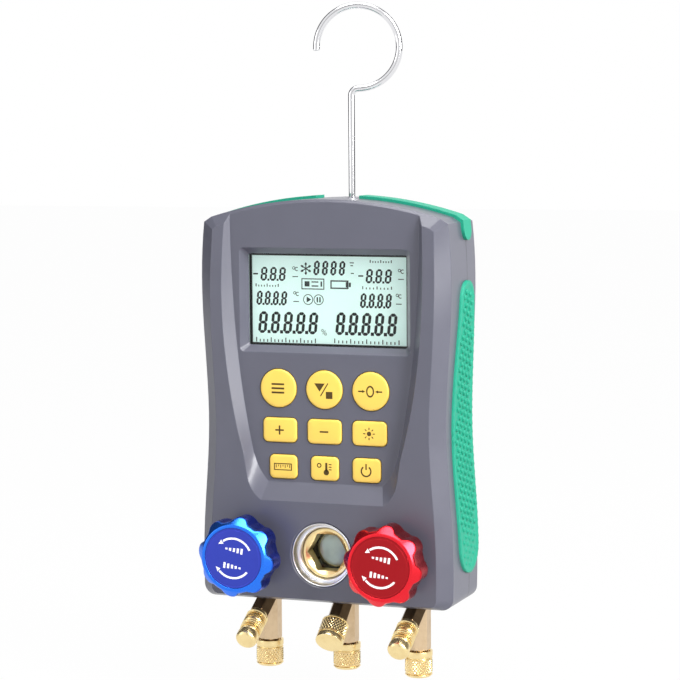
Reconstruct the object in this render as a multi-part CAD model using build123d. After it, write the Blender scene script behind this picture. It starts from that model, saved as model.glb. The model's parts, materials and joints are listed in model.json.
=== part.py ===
from build123d import *
import math
import os

# Digital refrigerant manifold gauge. Millimetres, +Z up, front towards -Y.
# The origin is the centre of the flat back face. Fore-and-aft places are given as a depth,
# measured forward from the back face, so that a depth of 20 lies at y = -20.

# Case outline, seen from the front
case_height = 201.0
foot_half_width = 66.4
belly_half_width = 65.9
waist_half_width = 63.0
chest_half_width = 65.7
shoulder_half_width = 64.3
belly_z = -61.0
waist_z = -14.0
chest_z = 48.0
crown_radius = 206.0
foot_corner_radius = 6.0
shoulder_run = 4.0
shoulder_drop = 2.6

# Case depths
split_depth = 22.0
edge_depth = 47.0
bevel_depth = 6.3
bevel_width = 6.75
crown_bevel_drop = 3.8
foot_bevel_rise = 2.2
rear_bevel_depth = 8.5
rear_bevel_width = 6.5
lean_start_z = 30.0
lean_radius = 640.0
wall = 2.5

# Sunken panel with the display and the keys
panel_depth = 47.9
panel_wall = 2.4
panel_top_half_width = 49.9
panel_foot_z = -40.5
panel_wall_slope = 4.5
panel_foot_slope = 8.9

# Display
glass_width = 83.8
glass_height = 45.7
display_z = 50.3
display_depth = 43.0
window_slope = 3.2
window_frame_wall = 3.2
lens_lap = 2.0
lens_thickness = 1.5
cell_thickness = 2.0
backlight_thickness = 3.9
cell_margin = 5.0

# Keys: three rows of three
key_pitches = (24.45, 23.75, 22.1)
key_rows_z = (6.4, -14.5, -32.9)
key_round_radius = 9.6
key_wide_size = (18.0, 12.2)
key_small_size = (14.8, 12.0)
key_corner_radius = 2.6
key_proud = 1.0
key_edge_round = 0.6
key_clearance = 0.35
key_flange_lap = 1.0
key_flange_thickness = 1.0
plunger_radius = 3.0
key_travel = 1.2
key_dome_gap = 0.4
key_names = (
    ("key_function", "key_run_stop", "key_zero"),
    ("key_up", "key_down", "key_light"),
    ("key_unit", "key_temperature", "key_power"),
)

# Main board
board_front_depth = 35.0
board_thickness = 1.6
board_half_width = 47.0
board_top_z = 86.0
board_foot_z = -48.0
board_boss_places = ((34.0, 82.0), (42.0, 15.5), (34.5, -44.0))
board_boss_radius = 2.9
board_corner_cut = 8.0
mat_thickness = 1.6
mat_margin = 2.6

# Case screws
case_screw_places = ((52.0, 84.0), (54.0, -88.0))
case_boss_radius = 3.8
case_screw_radius = 1.5
case_screw_clearance = 0.2
case_screw_head_radius = 2.9
case_screw_head_height = 2.2
case_counterbore_radius = 3.5
case_counterbore_floor = 6.0
case_screw_bite = 12.0

# Grips and top strips (soft inlays)
inlay_seat = 0.7
inlay_proud = 1.5
grip_mid_depth = 24.0
grip_top_z = 60.3
grip_foot_z = -85.2
grip_top_half_depth = 10.0
grip_mid_half_depth = 15.0
grip_foot_half_depth = 14.0
grip_widest_z = -26.0
strip_half_depth = 5.8
strip_gap_half = 11.5
strip_foot_z = 80.0

# Hanging hook
wire_radius = 1.75
hook_depth = 7.0
hook_loop_radius = 20.85
hook_loop_z = 175.7
hook_neck_radius = 3.4
hook_tip_angle = 185.0
hook_turn = 20.0
hook_travel = 46.0
guide_radius = 4.05
guide_length = 10.0
guide_top_z = 100.0
collar_length = 8.5
hook_head_radius = 2.9
hook_head_height = 1.5
tunnel_wall = 2.4
sliding_clearance = 0.08
turning_clearance = 0.06

# Battery compartment
cell_radius = 7.2
cell_length = 50.5
cell_count = 4
cell_clearance = 0.2
bay_z = -8.0
bay_wall = 2.0
spring_length = 4.6
contact_thickness = 0.5
cover_thickness = 2.0
cover_lap = 4.0
cover_clearance = 0.3
cover_screw_z = -44.5
cover_screw_margin = 6.5
cover_screw_radius = 1.25
cover_boss_front_depth = 14.0
cover_screw_head_radius = 2.8
cover_screw_head_height = 1.0
cover_groove_count = 3
cover_groove_pitch = 3.2
cover_groove_width = 1.6
cover_groove_depth = 0.7

# Manifold block
block_half_width = 49.0
block_back_depth = 10.0
block_front_depth = 40.0
block_top_z = -58.0
block_foot_z = -94.5
valve_x = 38.5
valve_z = -75.55
port_x = 40.5
port_depth = 24.0
centre_port_depth = 19.0
block_boss_places = ((21.5, -63.0), (21.5, -89.5))
block_boss_radius = 3.4
block_edge_cut = 1.5

# Valve train
piston_radius = 5.95
piston_bore_clearance = 0.05
piston_length = 12.0
seat_depth = 20.0
seat_bore_radius = 2.5
valve_travel = 3.0
nose_radius = 2.5
spindle_radius = 4.0
spindle_collar_length = 4.5
gland_across_flats = 19.0
gland_front_depth = 55.0
gland_window_radius = 12.0

# Hand wheels
wheel_back_depth = 60.5
wheel_front_depth = 75.1
wheel_lobe_count = 8
wheel_body_radius = 17.2
wheel_lobe_radius = 4.4
wheel_lobe_reach = 15.1
wheel_lobe_turn = -9.0
wheel_hollow_radius = 3.0
wheel_face_radius = 15.9
wheel_hub_radius = 8.0
wheel_hub_length = 3.5
disc_radius = 15.3
disc_recess = 0.9
disc_thickness = 0.8

# Sight glass
sight_nut_radius = 12.6
sight_nut_front_depth = 47.0
sight_nut_length = 8.0
sight_socket_flats = 18.0
sight_glass_thickness = 4.0
sight_seal_thickness = 1.8
sight_boss_radius = 14.9
sight_boss_front_depth = 44.5
sight_chamber_radius = 9.0
sight_chamber_back_depth = 16.0
bezel_radius = 15.3
bezel_front_depth = 49.4
sight_window_clearance = 0.6
window_edge_round = 0.8

# Port fittings, 1/4 in flare: 7/16-20 thread
thread_radius = 5.556
stem_across_flats = 11.0
stem_foot_z = -126.4
stub_radius = 6.0
stub_length = 8.0
post_across_flats = 9.2
post_lean = 60.0
post_root_z = -102.5
post_hex_length = 17.8
post_thread_length = 13.2
post_groove_length = 2.0
post_groove_radius = 4.4
post_nose_length = 4.6
post_nose_radius = 5.3
post_nose_chamfer = 1.4
centre_post_lean = 50.0
centre_post_root_z = -100.4
centre_post_hex_length = 20.3
port_slot_half_width = 7.6
port_slot_back = 7.2
port_slot_front = 8.6

# Caps
cap_radius = 7.05
cap_height = 13.2
cap_floor = 1.7
cap_chamfer = 1.2
cap_collar_height = 2.8
cap_groove_height = 0.8
cap_groove_depth = 0.6
cap_clearance = 0.09
gasket_thickness = 1.0

# Pressure sensors
sensor_across_flats = 13.0
sensor_hex_height = 5.0
sensor_can_radius = 5.5
sensor_height = 13.0

half_height = case_height / 2
front_depth = edge_depth + bevel_depth
root_half = math.sqrt(0.5)


def crown_sag(x):
    """Drop of the crown arc at a distance x from the middle."""
    return crown_radius - math.sqrt(crown_radius ** 2 - x ** 2)


def lean_back(z):
    """How far the face leans back from the vertical at height z."""
    rise = max(0.0, z - lean_start_z)
    return rise ** 2 / (2 * lean_radius)


def bevel_inset(z):
    """Inset of the front bevel, widened where the face leans back so that its edge runs parallel."""
    return bevel_width * bevel_depth / (bevel_depth - lean_back(z))


def flat_inset(amount):
    """An inset that is the same at every height."""
    return lambda z: amount


def mirrored(points):
    """The same points on the other side, in reverse order."""
    return [(-x, z) for x, z in reversed(points)]


def case_outline(side_inset, crown_inset, foot_inset, corner_radius=foot_corner_radius, shoulder=1.0):
    """Front-view outline of the case, pulled in by the given amounts."""
    foot_z = foot_inset - half_height
    crown_z = half_height - crown_inset
    foot_x = foot_half_width - side_inset(-half_height)
    shoulder_x = shoulder_half_width - side_inset(half_height - crown_inset - crown_sag(shoulder_half_width))
    crown_end_x = shoulder_x - shoulder_run * shoulder
    crown_end_z = crown_z - crown_sag(crown_end_x)
    shoulder_z = crown_end_z - shoulder_drop * shoulder
    bend = corner_radius * (1 - root_half)
    side = [
        (foot_x, foot_z + corner_radius),
        (belly_half_width - side_inset(belly_z), belly_z),
        (waist_half_width - side_inset(waist_z), waist_z),
        (chest_half_width - side_inset(chest_z), chest_z),
        (shoulder_x, shoulder_z),
    ]
    corner = [(foot_x - corner_radius, foot_z), (foot_x - bend, foot_z + bend), side[0]]
    edges = [
        Line((corner_radius - foot_x, foot_z), corner[0]),
        ThreePointArc(*corner),
        Spline(*side),
        Line(side[-1], (crown_end_x, crown_end_z)),
        ThreePointArc((crown_end_x, crown_end_z), (0, crown_z), (-crown_end_x, crown_end_z)),
        Line((-crown_end_x, crown_end_z), (-shoulder_x, shoulder_z)),
        Spline(*mirrored(side)),
        ThreePointArc(*mirrored(corner)),
    ]
    return make_face(edges)


def at_depth(sketch, depth):
    """A front-view sketch stood up at a depth."""
    return Plane.XZ.offset(depth) * sketch


def slab(sketch, back, front):
    """A front-view outline made solid between two depths."""
    return extrude(at_depth(sketch, back), front - back)


def bar(x, z, radius, back, front):
    """A round bar that runs fore and aft."""
    return slab(Pos(x, z) * Circle(radius), back, front)


def pin(x, depth, radius, low, high):
    """An upright round bar."""
    return extrude(Pos(x, -depth, low) * Circle(radius), high - low)


def hex_face(across_flats, turn=0):
    return RegularPolygon(across_flats / 2, 6, major_radius=False, rotation=turn)


def both_sides(places):
    return [(side * x, z) for x, z in places for side in (-1, 1)]


def plain_outline(inset):
    return case_outline(flat_inset(inset), inset, inset, max(foot_corner_radius - inset, 1.0))


# ---------------------------------------------------------------- case shells

def front_form():
    """The outer form of the front shell, bevelled all round, with its face leaning back at the top."""
    edge = case_outline(flat_inset(0), 0, 0)
    full_drop = crown_bevel_drop * bevel_depth / (bevel_depth - lean_back(half_height))
    face = case_outline(bevel_inset, full_drop, foot_bevel_rise, foot_corner_radius - 2.5, 0.25)
    form = slab(edge, split_depth, edge_depth)
    form += loft([at_depth(edge, edge_depth), at_depth(face, front_depth)], ruled=True)
    top_z = half_height + 5
    mid_z = (lean_start_z + top_z) / 2
    lean = [(y_lean(z), z) for z in (lean_start_z, mid_z, top_z)]
    ahead = make_face([
        ThreePointArc(*lean),
        Line(lean[2], (lean[0][0] - 10, top_z)),
        Line((lean[0][0] - 10, top_z), (lean[0][0] - 10, lean_start_z)),
        Line((lean[0][0] - 10, lean_start_z), lean[0]),
    ])
    return form - extrude(Plane.YZ * ahead, chest_half_width + 10, both=True)


def y_lean(z):
    return lean_back(z) - front_depth


def rear_form():
    """The outer form of the rear shell."""
    edge = case_outline(flat_inset(0), 0, 0)
    back = case_outline(flat_inset(rear_bevel_width), crown_bevel_drop, foot_bevel_rise,
                        foot_corner_radius - 2.5, 0.5)
    form = slab(edge, rear_bevel_depth, split_depth)
    return form + loft([at_depth(back, 0), at_depth(edge, rear_bevel_depth)], ruled=True)


def panel_outline(slope, foot_drop, corner):
    """Outline of the sunken panel: slope and foot_drop widen it, corner rounds its lower ends."""
    top_z = half_height + 10
    side = [
        (panel_top_half_width + slope, top_z),
        (panel_top_half_width - 1.5 + slope, chest_z),
        (waist_half_width - 19.2 + slope, chest_z - 44),
        (waist_half_width - 24.6 + slope * 0.7, waist_z - 12),
    ]
    foot_z = panel_foot_z - foot_drop
    low = (side[-1][0] - 1.0 - corner * 0.2, panel_foot_z + 11.5 - foot_drop * 0.9)
    end = (low[0] - 6.6 - corner * 0.2, foot_z)
    knee = ((low[0] + end[0]) / 2 + 0.6 + corner * 0.2, (low[1] + foot_z) / 2 - corner * 0.25)
    edges = [
        Spline(*side),
        Line(side[-1], low),
        ThreePointArc(low, knee, end),
        Line(end, (-end[0], foot_z)),
        ThreePointArc(*mirrored([low, knee, end])),
        Line((-low[0], low[1]), (-side[-1][0], side[-1][1])),
        Spline(*mirrored(side)),
        Line((-side[0][0], top_z), side[0]),
    ]
    return make_face(edges)


def panel_pocket():
    """The sunken panel: its side walls slope, and its foot runs out in a gentle ramp."""
    floor = panel_outline(0, 0, 1.0)
    mouth = panel_outline(panel_wall_slope, panel_foot_slope, 4.0)
    pocket = loft([at_depth(floor, panel_depth), at_depth(mouth, front_depth)], ruled=True)
    return pocket + slab(mouth, front_depth, front_depth + 1)


def display_rectangle(grow):
    return Pos(0, display_z) * RectangleRounded(glass_width + 2 * grow, glass_height + 2 * grow,
                                                max(1.2, 1.2 + grow * 0.3))


def display_window():
    """Tapered window from the panel down to the display lens."""
    inner = at_depth(display_rectangle(0), display_depth)
    outer = at_depth(display_rectangle(window_slope), panel_depth)
    return loft([inner, outer], ruled=True) + slab(display_rectangle(window_slope), panel_depth, front_depth)


def key_face(row, grow=0.0):
    """Outline of a key in a given row, grown by a margin."""
    if row == 0:
        return Circle(key_round_radius + grow)
    width, height = (key_wide_size, key_small_size)[row - 1]
    return RectangleRounded(width + 2 * grow, height + 2 * grow, key_corner_radius + grow)


def key_places():
    """Name, row and place of each key."""
    for row, names in enumerate(key_names):
        for column, name in enumerate(names):
            yield name, row, ((column - 1) * key_pitches[row], key_rows_z[row])


def inlay_band(depth_from, depth_to):
    """A band that follows the case outline, sunk by its seat and standing proud of the wall."""
    outer = plain_outline(-inlay_proud)
    inner = plain_outline(inlay_seat)
    return slab(outer, depth_from, depth_to) - slab(inner, depth_from, depth_to)


def grip_window():
    """Side-view outline of a grip: widest low down, with round ends."""
    top = grip_top_z - grip_top_half_depth
    foot = grip_foot_z + grip_foot_half_depth
    front = [
        (-grip_mid_depth - grip_foot_half_depth, foot),
        (-grip_mid_depth - grip_mid_half_depth, grip_widest_z),
        (-grip_mid_depth - grip_top_half_depth, top),
    ]
    back = [(-2 * grip_mid_depth - y, z) for y, z in reversed(front)]
    edges = [
        Spline(*front),
        ThreePointArc(front[-1], (-grip_mid_depth, grip_top_z), back[0]),
        Spline(*back),
        ThreePointArc(back[-1], (-grip_mid_depth, grip_foot_z), front[0]),
    ]
    return Plane.YZ * make_face(edges)


def make_grips():
    """Soft side grips, left then right."""
    band = inlay_band(grip_mid_depth - 17, grip_mid_depth + 17)
    reach = foot_half_width + 5
    left = band & extrude(grip_window(), -reach)
    return left, mirror(left, Plane.YZ)


def make_top_strips():
    """Soft strips over the split line: from the hook gap along the crown and over each shoulder."""
    band = inlay_band(split_depth - strip_half_depth, split_depth + strip_half_depth)
    reach = foot_half_width + 5
    side_view = Plane.YZ * make_face([
        Line((-split_depth - strip_half_depth, strip_foot_z + strip_half_depth),
             (-split_depth - strip_half_depth, half_height + 5)),
        Line((-split_depth - strip_half_depth, half_height + 5),
             (-split_depth + strip_half_depth, half_height + 5)),
        Line((-split_depth + strip_half_depth, half_height + 5),
             (-split_depth + strip_half_depth, strip_foot_z + strip_half_depth)),
        ThreePointArc((-split_depth + strip_half_depth, strip_foot_z + strip_half_depth),
                      (-split_depth, strip_foot_z),
                      (-split_depth - strip_half_depth, strip_foot_z + strip_half_depth)),
    ])
    left = band & (extrude(side_view, -reach) - extrude(side_view, -strip_gap_half))
    return left, mirror(left, Plane.YZ)


def port_slots():
    """Openings in the case foot for the three fittings and their slanted posts."""
    slots = []
    for x, depth in ((-port_x, port_depth), (0, centre_port_depth), (port_x, port_depth)):
        length = port_slot_back + port_slot_front
        middle = depth + (port_slot_front - port_slot_back) / 2
        outline = RectangleRounded(2 * port_slot_half_width, length, 4)
        slots.append(extrude(Pos(x, -middle, -half_height - 1) * outline, wall + 2))
    return slots


def make_front_housing(inlays):
    form = front_form()
    shell = form - slab(plain_outline(wall), split_depth, panel_depth - panel_wall)
    lower_top = panel_foot_z - panel_foot_slope - 3.5
    lower_foot = wall - half_height + 1
    lower = Pos(0, (lower_top + lower_foot) / 2) * RectangleRounded(
        2 * (foot_half_width - bevel_width - wall - 4), lower_top - lower_foot, 4)
    shell -= slab(lower, split_depth, front_depth - wall)
    shell -= panel_pocket()
    frame_size = window_slope + window_frame_wall - 0.7
    shell += slab(display_rectangle(frame_size), display_depth - lens_thickness - 0.5, panel_depth)
    shell -= display_window()
    shell -= slab(display_rectangle(lens_lap), display_depth - lens_thickness - 1, display_depth)
    for x, z in both_sides(board_boss_places):
        shell += bar(x, z, board_boss_radius, board_front_depth, panel_depth - panel_wall)
    for x, z in both_sides(case_screw_places):
        shell += bar(x, z, case_boss_radius, split_depth, panel_depth - panel_wall) & form
    for x, z in both_sides(block_boss_places):
        shell += bar(x, z, block_boss_radius, block_front_depth, front_depth - wall)
    for _, row, (x, z) in key_places():
        shell -= slab(Pos(x, z) * key_face(row, key_clearance), display_depth, front_depth)
    for x, z in both_sides(case_screw_places):
        shell -= bar(x, z, case_screw_radius, split_depth, split_depth + case_screw_bite)
    for side in (-1, 1):
        shell -= bar(side * valve_x, valve_z, gland_window_radius, split_depth, front_depth + 1)
    shell -= sight_window()
    for cut in port_slots() + inlays:
        shell -= cut
    return shell


def sight_window():
    """Round opening for the sight glass, its front edge rounded over."""
    radius = bezel_radius + sight_window_clearance
    opening = bar(0, valve_z, radius, split_depth, front_depth + 1)
    flare = Cone(radius, radius + window_edge_round, window_edge_round)
    flare = Plane.XZ.offset(front_depth - window_edge_round / 2) * Pos(0, valve_z) * flare
    return opening + flare


def bay_half_width():
    return cell_count * cell_radius + 0.5


def bay_half_height():
    return (cell_length + spring_length + 2 * contact_thickness + 0.6) / 2


def bay_floor_depth():
    return cover_thickness + 2 * cell_radius + cell_clearance


def cover_face(grow=0.0):
    """Outline of the battery cover: over the bay and down over its screw."""
    top = bay_z + bay_half_height() + cover_lap
    foot = cover_screw_z - cover_screw_margin
    half_width = bay_half_width() + cover_lap
    middle = Pos(0, (top + foot) / 2)
    return middle * RectangleRounded(2 * (half_width + grow), top - foot + 2 * grow, 4 + grow)


def bay_face(grow=0.0):
    return Pos(0, bay_z) * Rectangle(2 * (bay_half_width() + grow), 2 * (bay_half_height() + grow))


def tunnel_foot_z():
    return guide_top_z - guide_length - collar_length - hook_head_height - hook_travel - 1.5


def make_rear_housing(inlays):
    form = rear_form()
    mid = case_outline(flat_inset(wall), wall, wall, foot_corner_radius - wall)
    deep = case_outline(flat_inset(rear_bevel_width + 0.8), crown_bevel_drop + 1.6, foot_bevel_rise + 1.6, 2)
    shell = form - slab(mid, rear_bevel_depth, split_depth)
    shell -= loft([at_depth(deep, wall), at_depth(mid, rear_bevel_depth)], ruled=True)
    shell += slab(cover_face(bay_wall), 0, cover_thickness + bay_wall)
    shell += slab(bay_face(bay_wall), 0, bay_floor_depth() + bay_wall)
    tunnel_radius = guide_radius + sliding_clearance
    tunnel_half = tunnel_radius + tunnel_wall
    tunnel_foot = tunnel_foot_z()
    tunnel = Pos(0, (tunnel_foot - 2 + half_height) / 2) * Rectangle(2 * tunnel_half, half_height + 2 - tunnel_foot)
    shell += slab(tunnel, 0, hook_depth + tunnel_half) & form
    for x, z in both_sides(case_screw_places):
        shell += bar(x, z, case_counterbore_radius + 1, 0, split_depth) & form
    for x, z in both_sides(block_boss_places):
        shell += bar(x, z, block_boss_radius, wall - 0.5, block_back_depth)
    shell += bar(0, cover_screw_z, case_boss_radius, cover_thickness, cover_boss_front_depth)
    shell -= slab(cover_face(cover_clearance), -1, cover_thickness)
    shell -= slab(bay_face(), 0, bay_floor_depth())
    shell -= bar(0, cover_screw_z, cover_screw_radius, cover_thickness, cover_boss_front_depth - 2)
    shell -= pin(0, hook_depth, tunnel_radius, tunnel_foot, half_height + 2)
    for x, z in both_sides(case_screw_places):
        shell -= bar(x, z, case_counterbore_radius, -1, case_counterbore_floor)
        shell -= bar(x, z, case_screw_radius + case_screw_clearance, 0, split_depth + 1)
    for cut in port_slots() + inlays:
        shell -= cut
    return shell


def make_case_screws():
    tip = split_depth + case_screw_bite - 1
    screws = []
    for x, z in both_sides(case_screw_places):
        head_back = case_counterbore_floor - case_screw_head_height
        screw = bar(x, z, case_screw_head_radius, head_back, case_counterbore_floor)
        screws.append(screw + bar(x, z, case_screw_radius, case_counterbore_floor, tip))
    return screws


# ---------------------------------------------------------------- display and board

def make_display():
    """Lens, liquid crystal cell and backlight."""
    lens = slab(display_rectangle(lens_lap - 0.2), display_depth - lens_thickness, display_depth)
    cell_front = board_front_depth + backlight_thickness + cell_thickness
    cell = slab(display_rectangle(cell_margin), cell_front - cell_thickness, cell_front)
    tray = slab(display_rectangle(cell_margin + 0.6), board_front_depth, board_front_depth + backlight_thickness)
    return lens, cell, tray


def make_main_board():
    right = [
        (board_half_width - board_corner_cut, board_foot_z),
        (board_half_width, board_foot_z + board_corner_cut),
        (board_half_width, board_top_z - board_corner_cut),
        (board_half_width - board_corner_cut, board_top_z),
    ]
    outline = make_face(Polyline(*right, *mirrored(right), close=True))
    return slab(outline, board_front_depth - board_thickness, board_front_depth)


def plunger_tip_depth():
    return board_front_depth + 2 * mat_thickness + key_travel + key_dome_gap


def make_keys():
    """Each key: a cap in its hole, a flange behind the panel and a plunger towards the mat."""
    flange_front = panel_depth - panel_wall
    keys = {}
    for name, row, (x, z) in key_places():
        cap = slab(Pos(x, z) * key_face(row), flange_front, panel_depth + key_proud)
        front_edges = cap.edges().group_by(Axis.Y)[0]
        cap = chamfer(front_edges, key_edge_round)
        cap += slab(Pos(x, z) * key_face(row, key_flange_lap), flange_front - key_flange_thickness, flange_front)
        cap += bar(x, z, plunger_radius, plunger_tip_depth(), flange_front - key_flange_thickness)
        keys[name] = cap
    return keys


def make_keypad_mat():
    """Rubber mat on the board, with a raised dome under each plunger."""
    half_width = key_pitches[0] + key_round_radius + mat_margin
    top = key_rows_z[0] + key_round_radius + mat_margin
    foot = key_rows_z[2] - key_small_size[1] / 2 - mat_margin / 2
    sheet = Pos(0, (top + foot) / 2) * RectangleRounded(2 * half_width, top - foot, 3)
    mat = slab(sheet, board_front_depth, board_front_depth + mat_thickness)
    for _, _, (x, z) in key_places():
        mat += bar(x, z, plunger_radius + 0.8, board_front_depth, board_front_depth + 2 * mat_thickness)
    return mat


# ---------------------------------------------------------------- hook

def make_hook():
    """Steel wire hook: an upright stem with an upset head, a tight neck and a round loop."""
    radius = hook_loop_radius
    centre = (hook_neck_radius, hook_loop_z)
    neck_z = hook_loop_z - radius
    tip = (centre[0] + radius * math.cos(math.radians(hook_tip_angle)),
           centre[1] + radius * math.sin(math.radians(hook_tip_angle)))
    top = (centre[0] + radius * root_half, centre[1] + radius * root_half)
    bend = hook_neck_radius * (1 - root_half)
    foot_z = guide_top_z - guide_length - collar_length
    path = Line((0, foot_z), (0, neck_z - hook_neck_radius))
    path += ThreePointArc((0, neck_z - hook_neck_radius), (bend, neck_z - bend), (hook_neck_radius, neck_z))
    path += ThreePointArc((hook_neck_radius, neck_z), top, tip)
    wire = sweep(Pos(0, 0, 0) * Plane((0, foot_z, 0), z_dir=(0, 1, 0)) * Circle(wire_radius), path)
    tip_end = Pos(*tip) * Sphere(wire_radius)
    flat_hook = wire + tip_end
    flat_hook += Plane((0, foot_z - hook_head_height, 0), z_dir=(0, 1, 0)) * extrude(
        Circle(hook_head_radius), hook_head_height)
    upright = Plane.XZ * flat_hook
    return Pos(0, -hook_depth) * Rot(0, 0, hook_turn) * upright


def make_hook_collar():
    """Stop collar that slides in the tunnel and carries the turning stem."""
    top = guide_top_z - guide_length
    collar = pin(0, hook_depth, guide_radius, top - collar_length, top)
    return collar - pin(0, hook_depth, wire_radius + turning_clearance, top - collar_length, top)


def make_hook_guide():
    """Bush at the top of the tunnel, flush with the case."""
    low = guide_top_z - guide_length
    bush = pin(0, hook_depth, guide_radius, low, half_height + 2) & rear_form()
    return bush - pin(0, hook_depth, wire_radius + sliding_clearance, low, half_height + 2)


# ---------------------------------------------------------------- batteries

def make_battery_cover():
    """Flush cover with finger grooves near its top and one captive screw near its foot."""
    cover = slab(cover_face(), 0, cover_thickness)
    for step in range(cover_groove_count):
        z = bay_z + bay_half_height() - cover_screw_margin - cover_groove_pitch * step
        groove = Pos(0, z) * SlotOverall(22 - 2 * step, cover_groove_width)
        cover -= slab(groove, -1, cover_groove_depth)
    cover -= bar(0, cover_screw_z, cover_screw_head_radius + 0.4, -1, cover_screw_head_height)
    return cover - bar(0, cover_screw_z, cover_screw_radius + 0.35, -1, cover_thickness)


def make_cover_screw():
    screw = bar(0, cover_screw_z, cover_screw_head_radius, 0, cover_screw_head_height)
    return screw + bar(0, cover_screw_z, cover_screw_radius - 0.1, cover_screw_head_height,
                       cover_boss_front_depth - 4)


def battery_axes():
    """Across-case place of each cell, and whether its button points up."""
    for index in range(cell_count):
        yield (2 * index + 1 - cell_count) * cell_radius, index % 2 == 0


def battery_depth():
    return cover_thickness + cell_radius + cell_clearance / 2


def battery_ends():
    """Lower and upper end of a cell whose spring is below it."""
    low = bay_z - bay_half_height() + contact_thickness + spring_length
    return low, low + cell_length


def make_battery_cells():
    cells = []
    for x, button_up in battery_axes():
        low, high = battery_ends()
        cell = pin(x, battery_depth(), cell_radius - 0.1, low, high - 1.2)
        cell += pin(x, battery_depth(), 2.7, high - 1.2, high)
        if not button_up:
            cell = mirror(cell, Plane.XY.offset(bay_z))
        cells.append(cell)
    return cells


def make_battery_contacts():
    """Contact plates at the foot and the top of the bay, with a spring at every flat cell end."""
    low_z = bay_z - bay_half_height()
    plate = Box(2 * bay_half_width() - 0.6, 2 * cell_radius - 3, contact_thickness)
    foot = Pos(0, -battery_depth(), low_z + contact_thickness / 2) * plate
    head = mirror(foot, Plane.XY.offset(bay_z))
    for x, button_up in battery_axes():
        spring_base = low_z + contact_thickness
        spring = Pos(x, -battery_depth(), spring_base + spring_length / 2) * Cone(4.6, 2.8, spring_length)
        rest = pin(x, battery_depth(), 2.0, spring_base, spring_base + 0.6)
        if button_up:
            foot += spring
            head += mirror(rest, Plane.XY.offset(bay_z))
        else:
            head += mirror(spring, Plane.XY.offset(bay_z))
            foot += rest
    return foot, head


# ---------------------------------------------------------------- manifold

def make_manifold_block():
    """Machined block: two valve chambers, the sight-glass chamber, port bores and passages."""
    width = 2 * block_half_width
    height = block_top_z - block_foot_z
    face = Pos(0, (block_top_z + block_foot_z) / 2) * Rectangle(width, height)
    block = slab(face, block_back_depth, block_front_depth)
    block = chamfer(block.edges().filter_by(Axis.Y), block_edge_cut)
    block += bar(0, valve_z, sight_boss_radius, block_front_depth, sight_boss_front_depth)
    chamber_radius = piston_radius + piston_bore_clearance
    for x, depth in ((-port_x, port_depth), (0, centre_port_depth), (port_x, port_depth)):
        block -= pin(x, depth, stub_radius, block_foot_z - 1, block_foot_z + stub_length)
        block -= pin(x, depth, seat_bore_radius, block_foot_z, valve_z)
    gallery = Plane.YZ.offset(-valve_x) * Pos(-seat_depth + 4, valve_z) * Circle(seat_bore_radius)
    block -= extrude(gallery, 2 * valve_x)
    for side in (-1, 1):
        block -= bar(side * valve_x, valve_z, seat_bore_radius, seat_depth - 4, seat_depth)
        block -= bar(side * valve_x, valve_z, chamber_radius, seat_depth, block_front_depth + 1)
        block -= pin(side * valve_x, port_depth + 2, 2.0, valve_z, block_top_z + 1)
    glass_back = sight_nut_front_depth - sight_nut_length - sight_glass_thickness
    block -= bar(0, valve_z, sight_chamber_radius, sight_chamber_back_depth, block_front_depth)
    block -= bar(0, valve_z, sight_nut_radius + 0.1, glass_back - sight_seal_thickness, sight_boss_front_depth + 1)
    return block


def make_sight_glass():
    """Bezel ring, hexagon-socket nut, glass and seal, front to back."""
    nut_back = sight_nut_front_depth - sight_nut_length
    glass_back = nut_back - sight_glass_thickness
    inner = sight_nut_radius + 0.15
    profile = Polyline(
        (inner, sight_boss_front_depth), (bezel_radius, sight_boss_front_depth),
        (bezel_radius, bezel_front_depth - 1.0), (bezel_radius - 0.9, bezel_front_depth),
        (bezel_radius - 1.3, bezel_front_depth), (inner, sight_nut_front_depth + 0.3), close=True)
    section = Plane(origin=(0, 0, valve_z), x_dir=(1, 0, 0), z_dir=(0, 0, 1)) * mirror(
        make_face(profile), Plane.XZ)
    bezel = revolve(section, Axis((0, 0, valve_z), (0, 1, 0)))
    nut = bar(0, valve_z, sight_nut_radius, nut_back, sight_nut_front_depth)
    nut = chamfer(nut.edges().group_by(Axis.Y)[0], 0.5)
    nut -= slab(Pos(0, valve_z) * hex_face(sight_socket_flats), nut_back, sight_nut_front_depth)
    glass = bar(0, valve_z, sight_nut_radius - 0.1, glass_back, nut_back)
    seal = bar(0, valve_z, sight_nut_radius - 0.2, glass_back - sight_seal_thickness, glass_back)
    seal -= bar(0, valve_z, sight_chamber_radius + 0.3, glass_back - sight_seal_thickness, glass_back)
    return bezel, nut, glass, seal


def make_valve(x):
    """Gland nut, spindle and piston of one valve."""
    gland = slab(Pos(x, valve_z) * hex_face(gland_across_flats, 30), block_front_depth, gland_front_depth - 5)
    gland += bar(x, valve_z, spindle_radius + 3, gland_front_depth - 5, gland_front_depth)
    gland -= bar(x, valve_z, spindle_radius + turning_clearance, block_front_depth, gland_front_depth)
    collar_radius = piston_radius - 0.05
    collar_back = block_front_depth - spindle_collar_length
    nose_tip = seat_depth + 2.6 + valve_travel + 0.6
    spindle = bar(x, valve_z, collar_radius, collar_back, block_front_depth)
    spindle += bar(x, valve_z, spindle_radius, block_front_depth, wheel_back_depth + 8)
    spindle += bar(x, valve_z, nose_radius, nose_tip, collar_back)
    piston = bar(x, valve_z, piston_radius, seat_depth, seat_depth + piston_length)
    piston -= bar(x, valve_z, nose_radius + 0.08, seat_depth + 2.6, seat_depth + piston_length)
    return gland, spindle, piston


def wheel_face():
    """Lobed outline of a hand wheel, the hollows between its lobes rounded."""
    outline = Circle(wheel_body_radius)
    lobes = PolarLocations(wheel_lobe_reach, wheel_lobe_count, wheel_lobe_turn)
    outline += lobes * Circle(wheel_lobe_radius)
    return fillet(outline.vertices(), wheel_hollow_radius)


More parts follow.
